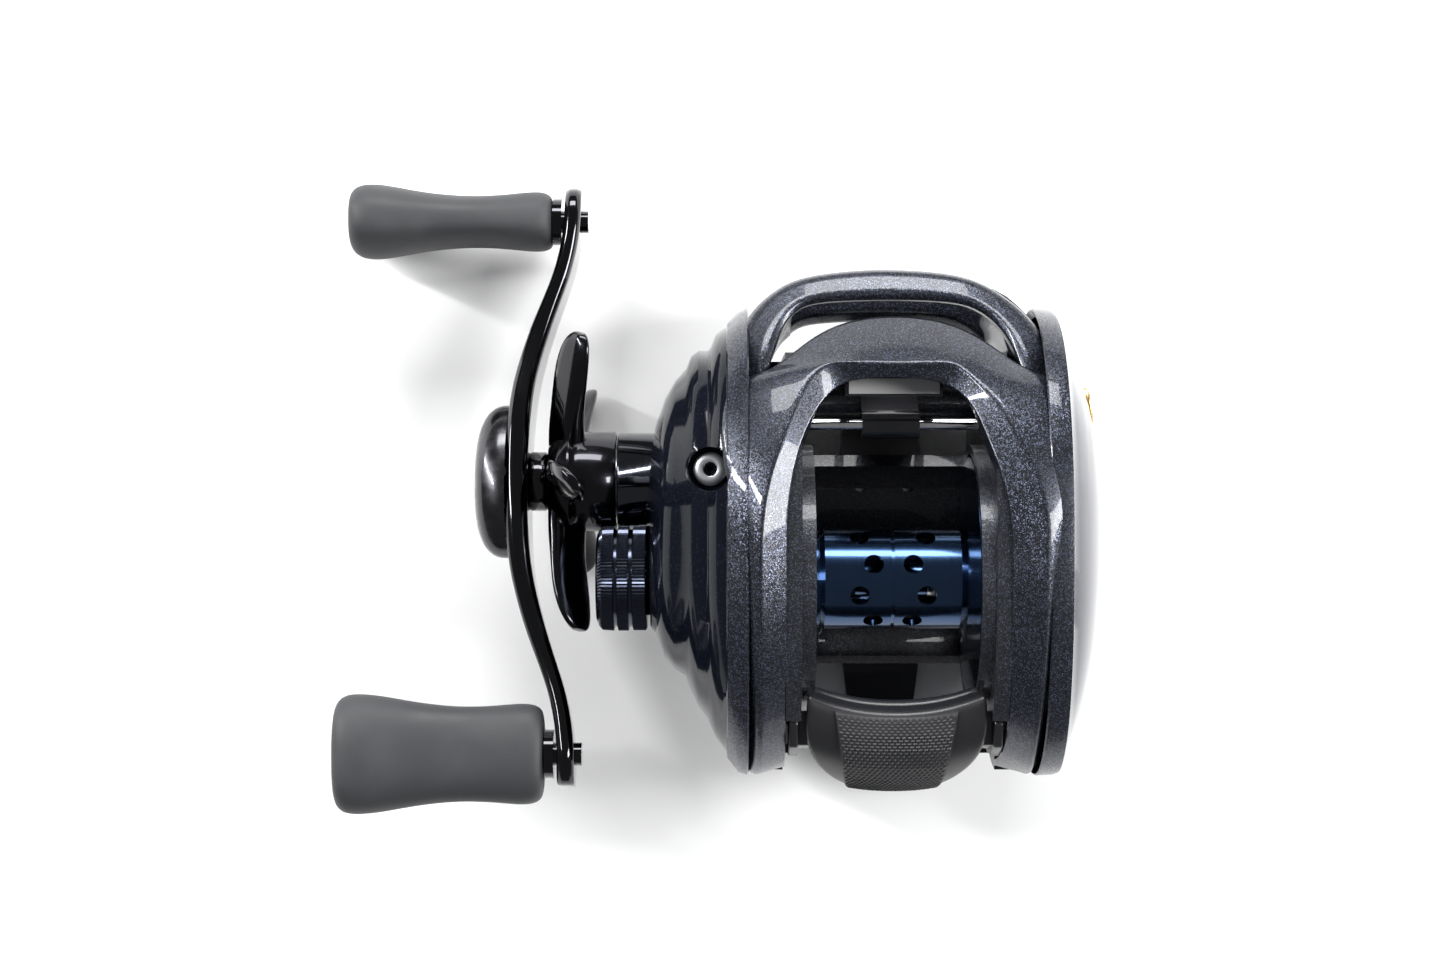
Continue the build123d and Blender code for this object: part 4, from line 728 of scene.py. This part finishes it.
# ---- nose arch ----
# The hood is moulded in one piece with the same paint: an upper arch, a lower bar under the line
# window, and a post on each side. Its legs tuck under the top cover's front corners.
# Each row is (outer x and ahead, inner x and ahead, z of the outer edge), from left to right.
HOOD_ROWS = [
    (-22.0, 26.5, -17.4, 26.8, 33.4), (-22.1, 30.0, -16.9, 30.0, 32.8), (-21.7, 33.2, -16.2, 32.6, 31.6),
    (-19.4, 37.4, -14.9, 35.4, 30.0), (-16.0, 40.3, -12.9, 37.4, 28.9), (-12.5, 42.0, -10.6, 38.2, 28.3),
    (-5.2, 42.9, -4.8, 38.5, 28.1), (1.2, 43.0, 1.0, 38.6, 28.1), (9.6, 42.3, 8.2, 38.3, 28.3),
    (13.9, 40.3, 11.4, 37.4, 28.9), (18.2, 37.0, 14.2, 35.2, 30.0), (20.8, 33.4, 16.0, 32.2, 31.6),
    (21.8, 30.0, 16.7, 29.8, 32.8), (22.0, 26.5, 17.2, 26.8, 33.4),
]
# The arch's section is (share of the way inwards, lift above the outer edge).
ARCH_SECTION = [(0.0, -4.6), (0.0, -0.4), (0.12, 0.9), (0.8, 2.4), (1.0, 1.9), (1.0, -1.6),
                (0.55, -3.4)]
arch_rings = []
for outer_x, outer_a, inner_x, inner_a, z in HOOD_ROWS:
    ring = []
    for share, lift in ARCH_SECTION:
        ring.append((outer_x + (inner_x - outer_x) * share,
                     SPOOL_Y + outer_a + (inner_a - outer_a) * share, z + lift))
    arch_rings.append(ring)
hood_arch = ring_skin("hood_arch", arch_rings, flake_paint,
                      {0: 0.6, 1: 0.35, 2: 0.7, 3: 0.8, 4: 0.6, 5: 0.8}, 2)
keep_body(hood_arch, "reel_body", "flake_paint", "front_hood")
bar_rings = []
for outer_x, outer_a, inner_x, inner_a, _ in HOOD_ROWS[3:11]:
    ring = [(outer_x, outer_a - 5.2, 6.4), (outer_x, outer_a - 1.6, 9.6), (outer_x, outer_a - 1.2, 10.4),
            (inner_x, inner_a - 0.4, 10.4), (inner_x, inner_a - 1.6, 7.4)]
    bar_rings.append([(x, SPOOL_Y + ahead, z) for x, ahead, z in ring])
hood_bar = ring_skin("hood_lower_bar", bar_rings, flake_paint,
                     {0: 0.6, 1: 0.3, 2: 0.8, 3: 0.9, 4: 0.9}, 2)
keep_body(hood_bar, "reel_body", "flake_paint")
POST_PLAN = [(-20.6, 30.9), (-20.9, 33.4), (-18.6, 37.2), (-15.7, 39.6), (-13.8, 40.6), (-13.5, 37.2),
             (-15.3, 34.9), (-16.4, 30.9)]
POST_LEVELS = [(7.2, 3.6), (10.0, 1.5), (16.0, 0.4), (22.0, 0.0), (27.6, 0.2)]  # (z, set back)
POST_REAR = 30.9
POST_DEPTH = 9.7
for side, place in ((1, "left"), (-1, "right")):
    post_rings = []
    for z, back in POST_LEVELS:
        ring = []
        for x, ahead in POST_PLAN:
            kept = ahead - back * max(0.0, (ahead - POST_REAR) / POST_DEPTH)
            ring.append((side * x, SPOOL_Y + kept, z))
        post_rings.append(ring)
    post = ring_skin(f"hood_post_{place}", post_rings, flake_paint, {0: 0.8, 4: 0.8, 5: 0.8, 7: 0.8}, 2)
    keep_body(post, "reel_body", "flake_paint")

# ---- level wind ----
# A chromed bar and a worm carry the gloss black line guide across the front of the spool. A bare
# light plate lies on the guide.
bar_chrome = metal_finish("bar_chrome", (0.8, 0.8, 0.82), 0.07, depth=5e-7)
guide_black = moulded_finish("guide_black", (0.016, 0.016, 0.02), 0.18, 3000.0, 1e-6, 0.02, 0.5)
label_pale = moulded_finish("label_plate", (0.5, 0.5, 0.5), 0.4, 5000.0, 2e-6, 0.1)
finish_node("guide_bar", bar_chrome)
finish_node("line_guide", guide_black)
finish_node("guide_label_plate", label_pale)

# ---- thumb bar ----
# The bar that frees the spool is moulded in satin black nylon: a dished tongue with an arm at
# each end that slides in the frame's slot. A rubber pad with rows of small raised grips is
# moulded on its top.
thumb_black = moulded_finish("thumb_black", (0.012, 0.012, 0.014), 0.3, 3500.0, 3e-6, 0.04)
thumb_rubber = moulded_finish("thumb_rubber", (0.02, 0.02, 0.022), 0.42, 4500.0, 4e-6, 0.1)
# Each row is (ahead and z at the middle, ahead and z at the sides, half width), front to rear.
THUMB_ROWS = [
    (-17.2, 34.9, -14.9, 35.8, 12.0), (-17.6, 36.2, -15.2, 37.1, 12.1), (-18.6, 36.7, -17.0, 37.3, 12.3),
    (-20.6, 36.5, -19.6, 36.6, 12.4), (-22.8, 35.6, -22.0, 35.2, 12.2), (-25.2, 33.8, -24.3, 33.2, 11.3),
    (-27.2, 31.6, -26.2, 31.0, 9.8), (-28.5, 29.4, -27.7, 29.0, 8.0), (-29.1, 27.6, -28.6, 27.4, 6.2),
]
THUMB_COLUMNS = 13
THUMB_THICK = 2.2
THUMB_AWAY = (0.55, -0.835)  # from the bar's top towards its underside, as (ahead, z)


def thumb_point(row, across, raised=0.0):
    """A point on the bar's top; row may lie between two rows, and across runs from -1 to 1."""
    low = min(int(row), len(THUMB_ROWS) - 2)
    share = row - low
    middle_a, middle_z, side_a, side_z, half = (
        first * (1 - share) + second * share
        for first, second in zip(THUMB_ROWS[low], THUMB_ROWS[low + 1])
    )
    bow = abs(across) ** 2.2
    ahead = middle_a + (side_a - middle_a) * bow - THUMB_AWAY[0] * raised
    z = middle_z + (side_z - middle_z) * bow - THUMB_AWAY[1] * raised
    return half * across, SPOOL_Y + ahead, z


thumb_points = []
for under in (0.0, -THUMB_THICK):
    for row in range(len(THUMB_ROWS)):
        for column in range(THUMB_COLUMNS):
            across = 2 * column / (THUMB_COLUMNS - 1) - 1
            squeeze = 1.0 if under == 0 else 0.94
            thumb_points.append(thumb_point(row, across * squeeze, under))


def plate_faces(rows, columns):
    """Faces of a closed plate whose points are its top's rows, then its underside's."""
    faces = []
    under = rows * columns
    for row in range(rows - 1):
        for column in range(columns - 1):
            here = row * columns + column
            quad = (here, here + 1, here + columns + 1, here + columns)
            faces.append(quad)
            faces.append(tuple(reversed([under + k for k in quad])))
    rim = list(range(columns))
    rim += [row * columns + columns - 1 for row in range(1, rows)]
    rim += [(rows - 1) * columns + column for column in reversed(range(columns - 1))]
    rim += [row * columns for row in reversed(range(1, rows - 1))]
    for place, here in enumerate(rim):
        after = rim[(place + 1) % len(rim)]
        faces.append((after, here, under + here, under + after))
    return faces, rim


thumb_faces, thumb_rim = plate_faces(len(THUMB_ROWS), THUMB_COLUMNS)
thumb_creases = {}
for place, here in enumerate(thumb_rim):
    thumb_creases[(here, thumb_rim[(place + 1) % len(thumb_rim)])] = 0.45
thumb_bar = mesh_piece("thumb_tongue", thumb_points, thumb_faces, [thumb_black], thumb_creases, 2)
keep_body(thumb_bar, "thumb_bar", "thumb_black", "thumb_bar")


def slab_piece(name, outline, x0, x1, material, rounding):
    """A flat plate with rounded edges, from its (ahead, z) outline, carried from x0 to x1."""
    points = [(x, SPOOL_Y + ahead, z) for x in (x0, x1) for ahead, z in outline]
    count = len(outline)
    faces = ring_faces(2, count) + [tuple(range(count)), tuple(range(count, 2 * count))]
    piece = mesh_piece(name, points, faces, [material])
    edge = piece.modifiers.new("edge", "BEVEL")
    edge.width = rounding * MM
    edge.segments = 3
    return piece


THUMB_ARM = [(-16.5, 35.2), (-19.4, 36.2), (-22.6, 34.8), (-24.2, 30.5), (-24.2, 26.0), (-21.5, 22.0),
             (-19.4, 22.0), (-18.0, 27.0)]
THUMB_LUG = [(-17.5, 35.4), (-22.4, 34.0), (-23.2, 30.5), (-19.0, 31.0)]
for side, place in ((-1, "left"), (1, "right")):
    thumb_arm = slab_piece(f"thumb_arm_{place}", THUMB_ARM, *sorted((side * 13.25, side * 14.55)),
                           thumb_black, 0.3)
    keep_body(thumb_arm, "thumb_bar", "thumb_black")
    thumb_lug = slab_piece(f"thumb_lug_{place}", THUMB_LUG, *sorted((side * 11.4, side * 13.6)),
                           thumb_black, 0.3)
    keep_body(thumb_lug, "thumb_bar", "thumb_black")

PAD_HALF = (8.3, 6.3)  # half width at the pad's front and rear
PAD_ROWS = (1.6, 8.3)  # where the pad starts and ends along the bar's rows
PAD_RAISED = 0.35


def pad_point(along, across, raised):
    """A point on the pad: along from 0 to 1, across from -1 to 1."""
    row = min(PAD_ROWS[0] + (PAD_ROWS[1] - PAD_ROWS[0]) * along, len(THUMB_ROWS) - 1.0)
    half = PAD_HALF[0] + (PAD_HALF[1] - PAD_HALF[0]) * along
    low = min(int(row), len(THUMB_ROWS) - 2)
    share = row - low
    width = THUMB_ROWS[low][4] * (1 - share) + THUMB_ROWS[low + 1][4] * share
    return thumb_point(row, across * half / width, raised)


PAD_STEPS = (24, 13)
pad_points = []
for raised in (PAD_RAISED, -0.6):
    for row in range(PAD_STEPS[0]):
        for column in range(PAD_STEPS[1]):
            across = 2 * column / (PAD_STEPS[1] - 1) - 1
            pad_points.append(pad_point(row / (PAD_STEPS[0] - 1), across, raised))
pad_faces, _ = plate_faces(*PAD_STEPS)
GRIP_ROWS = 33
GRIP_COLUMNS = 19
GRIP_SIZE = (0.34, 0.16)  # half width across and half depth along, in mm
GRIP_TALL = 0.16
PAD_LENGTH = 15.0
for row in range(GRIP_ROWS):
    along = 0.025 + 0.95 * row / (GRIP_ROWS - 1)
    half = PAD_HALF[0] + (PAD_HALF[1] - PAD_HALF[0]) * along
    for column in range(GRIP_COLUMNS):
        across = (2 * (column + 0.5 * (row % 2)) / (GRIP_COLUMNS - 0.5) - 1) * 0.94
        wide = GRIP_SIZE[0] / half
        deep = GRIP_SIZE[1] / PAD_LENGTH
        first = len(pad_points)
        for lift, shrink in ((PAD_RAISED - 0.05, 1.0), (PAD_RAISED + GRIP_TALL, 0.5)):
            for step_a, step_w in ((-1, -0.5), (-1, 0.5), (0, 1), (1, 0.5), (1, -0.5), (0, -1)):
                pad_points.append(pad_point(
                    along + step_a * deep * shrink, across + step_w * wide * shrink, lift))
        pad_faces += ring_faces(2, 6, first=first)
        pad_faces.append(tuple(first + 6 + k for k in range(6)))
        pad_faces.append(tuple(first + k for k in reversed(range(6))))
thumb_pad = mesh_piece("thumb_grip_pad", pad_points, pad_faces, [thumb_rubber])
for face in thumb_pad.data.polygons:
    face.use_smooth = False
keep_body(thumb_pad, "thumb_bar", "thumb_rubber", "thumb_pad")

# ---- tension knob ----
# Turned from aluminium bar: three finely knurled bands parted by two grooves, with a chamfered
# face, anodised blue black.
tension_blue = metal_finish("tension_blue", (0.032, 0.038, 0.058), 0.16, coat=0.3)
TENSION_PROFILE = [
    (-33.95, 5.4, 0), (-33.95, 6.9, 0), (-34.2, 7.3, 1), (-35.9, 7.3, 1), (-36.05, 6.8, 0),
    (-36.45, 6.8, 0), (-36.6, 7.35, 1), (-38.0, 7.35, 1), (-38.15, 6.8, 0), (-38.5, 6.8, 0),
    (-38.65, 7.35, 1), (-40.2, 7.25, 1), (-40.7, 6.7, 0), (-41.0, 6.1, 0), (-41.0, 4.6, 0),
    (-40.7, 4.3, 0), (-40.7, 0.4, 0), (-40.5, 0.4, 0), (-40.5, 5.4, 0),
]
tension_knob = knurled_piece("tension_knob_knurled", TENSION_PROFILE, 0, SPOOL_Z, tension_blue)
keep_body(tension_knob, "tension_knob", "tension_blue", "tension_knob")
finish_node("tension_spacer", bpy.data.materials["inner_black"])

# ---- star drag ----
# Cast and polished, then anodised gloss black. A drum hub carries five broad petals that sweep
# back towards the reel, each with a crisp ridge round its face.
star_black = metal_finish("star_black", (0.014, 0.014, 0.018), 0.2, (400.0, 400.0, 400.0), coat=0.5)
star_hub = turned_piece("star_hub", [
    (-48.1, 2.6), (-48.1, 5.2), (-47.0, 6.4), (-45.4, 7.4), (-44.9, 7.4), (-44.6, 7.0), (-43.4, 7.1),
    (-38.7, 7.1), (-38.45, 6.8), (-38.45, 5.4), (-39.3, 5.3), (-39.3, 2.6)],
    DRIVE_AHEAD, DRIVE_Z, star_black)
keep_body(star_hub, "star_drag", "star_black", "star_drag")
# Each row of a petal is (distance out, x of its middle, half width, thickness). The petals are
# pitched like a propeller's blades.
PETAL_ROWS = [
    (4.5, -45.6, 3.6, 3.2), (7.5, -45.6, 3.5, 3.2), (10.0, -45.5, 3.3, 2.9), (13.0, -45.2, 3.5, 2.5),
    (16.5, -44.8, 3.6, 2.2), (19.5, -44.2, 3.1, 2.0), (21.3, -43.7, 2.1, 1.6), (21.8, -43.5, 1.1, 1.2),
]
PETAL_PITCH = 40.0
PETALS = 5
# The section is (share of the thickness, share of the half width).
PETAL_SECTION = [(-0.5, -0.6), (-0.5, 0.6), (-0.05, 1.0), (0.2, 1.0), (0.5, 0.7), (0.5, -0.7),
                 (0.2, -1.0), (-0.05, -1.0)]


def turned_about(points, axis, degrees):
    """Points (x, ahead, z) turned about an X line through the axis, moved to the row frame."""
    turn = math.radians(degrees)
    placed = []
    for x, a, z in points:
        placed.append((x, SPOOL_Y + axis[0] + a * math.cos(turn) - z * math.sin(turn),
                       axis[1] + a * math.sin(turn) + z * math.cos(turn)))
    return placed


pitch = math.radians(PETAL_PITCH)
for petal in range(PETALS):
    rings = []
    for out, x, half, thick in PETAL_ROWS:
        ring = []
        for share_t, share_w in PETAL_SECTION:
            deep, wide = share_t * thick, share_w * half
            ring.append((x + deep * math.cos(pitch) + wide * math.sin(pitch), out,
                         wide * math.cos(pitch) - deep * math.sin(pitch)))
        rings.append(turned_about(ring, (DRIVE_AHEAD, DRIVE_Z), 90 + 360 / PETALS * petal))
    arm = ring_skin(f"star_petal_{petal}", rings, star_black, {0: 0.7, 1: 0.7, 2: 0.3, 7: 0.3}, 2, 0.6)
    keep_body(arm, "star_drag", "star_black")

# ---- handle arm ----
# A forged and machined double crank, gloss black. It bows outwards at the middle and comes
# back in to the knob posts, and its long edges are rounded.
arm_black = metal_finish("arm_black", (0.012, 0.012, 0.015), 0.12, (300.0, 300.0, 300.0), coat=0.7)
nut_cover_black = metal_finish("nut_cover_black", (0.05, 0.05, 0.055), 0.25, (500.0, 500.0, 500.0),
                               coat=0.3)
HANDLE_ANGLE = -13.0
# Each row is (distance out, x of the outer face, x of the inner face, half width).
ARM_ROWS = [
    (0, -54.0, -50.9, 6.6), (6, -53.9, -50.8, 6.4), (12, -53.5, -50.4, 5.6), (17, -52.4, -49.4, 4.7),
    (22, -50.9, -48.0, 4.2), (26, -49.3, -46.7, 4.1), (30, -47.8, -45.3, 4.1), (34, -46.8, -44.4, 4.3),
    (37, -46.4, -44.0, 4.8), (40, -46.3, -43.9, 4.9), (42.2, -46.3, -43.9, 3.9), (43.4, -46.3, -43.9, 2.0),
]
ARM_EDGE = 0.7
arm_rings = []
for out, x0, x1, half in [(-r, *rest) for r, *rest in reversed(ARM_ROWS[1:])] + ARM_ROWS:
    ring = [(x0, out, -half + ARM_EDGE), (x0, out, 0), (x0, out, half - ARM_EDGE),
            (x0 + ARM_EDGE, out, half), (x1 - ARM_EDGE, out, half), (x1, out, half - ARM_EDGE),
            (x1, out, 0), (x1, out, -half + ARM_EDGE), (x1 - ARM_EDGE, out, -half),
            (x0 + ARM_EDGE, out, -half)]
    arm_rings.append(turned_about(ring, (DRIVE_AHEAD, DRIVE_Z), HANDLE_ANGLE))
arm_collar = turned_piece("arm_collar", [
    (-50.95, 2.55), (-50.95, 3.9), (-50.6, 4.2), (-48.6, 4.2), (-48.2, 3.8), (-48.2, 2.55)],
    DRIVE_AHEAD, DRIVE_Z, arm_black)
keep_body(arm_collar, "handle", "arm_black")
handle_arm = ring_skin("crank_arm", arm_rings, arm_black,
                       {0: 0.5, 2: 0.5, 3: 0.5, 4: 0.5, 5: 0.5, 7: 0.5, 8: 0.5, 9: 0.5}, 2, 0.3)
keep_body(handle_arm, "handle", "arm_black", "handle_arm")
finish_node("nut_cover", nut_cover_black)
finish_node("knob_posts", arm_black)

# ---- handle knobs ----
# Paddle knobs moulded in soft-touch dark grey rubber: broad at the outer end, waisted, and cut
# square at the arm. Each is closed by a cap in a shallow dish.
knob_rubber = moulded_finish("knob_rubber", (0.03, 0.031, 0.034), 0.6, 3500.0, 1.2e-5, 0.25)
knob_cap_black = moulded_finish("knob_cap", (0.02, 0.02, 0.02), 0.35)
KNOB_REACH = 38.8
KNOB_BROAD = 16.8
KNOB_THIN = 10.9
# Each row is (x, share of the breadth, share of the thickness), from the arm outwards.
KNOB_ROWS = [
    (-48.25, 0.30, 0.44), (-48.25, 0.62, 0.60), (-48.6, 0.76, 0.72), (-49.8, 0.83, 0.79),
    (-51.8, 0.84, 0.78), (-55.0, 0.80, 0.71), (-59.0, 0.78, 0.67), (-63.0, 0.81, 0.70),
    (-67.0, 0.88, 0.78), (-70.5, 0.96, 0.91), (-73.5, 1.0, 1.0), (-75.6, 0.99, 0.98),
    (-76.8, 0.90, 0.88), (-77.3, 0.72, 0.70), (-77.1, 0.46, 0.66), (-76.6, 0.40, 0.6), (-76.5, 0.1, 0.15),
]
KNOB_AROUND = 28
SQUARENESS = 0.82  # under 1, the paddle's section is squarer than an ellipse


def paddle_ring(x, broad, thin):
    """A rounded section of a paddle, as (x, along the breadth, along the thickness)."""
    ring = []
    for k in range(KNOB_AROUND):
        turn = 2 * math.pi * k / KNOB_AROUND
        c, d = math.cos(turn), math.sin(turn)
        ring.append((x, broad * math.copysign(abs(c) ** SQUARENESS, c),
                     thin * math.copysign(abs(d) ** SQUARENESS, d)))
    return ring


handle_turn = math.radians(HANDLE_ANGLE)
for place, end, lie in (("front", 1, 90), ("rear", -1, 0)):
    reach = end * KNOB_REACH
    axis = (DRIVE_AHEAD + reach * math.cos(handle_turn), DRIVE_Z + reach * math.sin(handle_turn))
    rings = [
        turned_about(paddle_ring(x, KNOB_BROAD / 2 * broad, KNOB_THIN / 2 * thin), axis, lie)
        for x, broad, thin in KNOB_ROWS
    ]
    grip = ring_skin(f"paddle_{place}", rings, knob_rubber, {}, 2, 0.0)
    keep_body(grip, f"knob_{place}", "knob_rubber", f"knob_{place}")
    finish_node(f"knob_cap_{place}", knob_cap_black)

# ---- studio ----
# A pale table top, broad soft boxes, and the camera straight above.
TABLE_SIDE = 3.0
TABLE_Z = -0.0002  # just under the foot
table = bpy.data.meshes.new("table_top")
half = TABLE_SIDE / 2
table.from_pydata([(-half, -half, TABLE_Z), (half, -half, TABLE_Z), (half, half, TABLE_Z),
                   (-half, half, TABLE_Z)], [], [(0, 1, 2, 3)])
table_top = bpy.data.objects.new("table_top", table)
bpy.context.scene.collection.objects.link(table_top)
table_white = moulded_finish("table_white", (0.86, 0.86, 0.86), 0.6, 300.0, 2e-6, 0.05)
table.materials.append(table_white)


def soft_box(name, place, target, size, power):
    """A rectangular area light aimed at a point, all in metres."""
    light = bpy.data.lights.new(name, "AREA")
    light.shape = "RECTANGLE"
    light.size, light.size_y = size
    light.energy = power
    lamp = bpy.data.objects.new(name, light)
    lamp.location = place
    lamp.rotation_euler = (Vector(target) - Vector(place)).to_track_quat("-Z", "Y").to_euler()
    bpy.context.scene.collection.objects.link(lamp)


soft_box("window_left", (-0.75, 0.35, 0.55), (0, 0, 0.02), (0.05, 0.9), 12.0)
soft_box("box_right", (0.8, 0.1, 0.55), (0, 0, 0.02), (0.2, 0.8), 15.0)
soft_box("box_front", (0.0, 0.9, 0.55), (0, 0, 0.02), (0.8, 0.25), 11.0)
world = bpy.data.worlds.new("studio")
world.use_nodes = True
world.node_tree.nodes["Background"].inputs["Color"].default_value = (0.95, 0.97, 1.0, 1)
world.node_tree.nodes["Background"].inputs["Strength"].default_value = 0.2
bpy.context.scene.world = world
bpy.context.scene.view_settings.view_transform = "Standard"

LENS = 61.9
CAMERA_PLACE = (-23.5 * MM, 9.5 * MM, 372 * MM)
camera = bpy.data.objects.new("camera", bpy.data.cameras.new("camera"))
camera.data.sensor_width = 36.0
camera.data.lens = LENS
camera.data.clip_start = 0.01
camera.location = CAMERA_PLACE
bpy.context.scene.collection.objects.link(camera)
bpy.context.scene.camera = camera
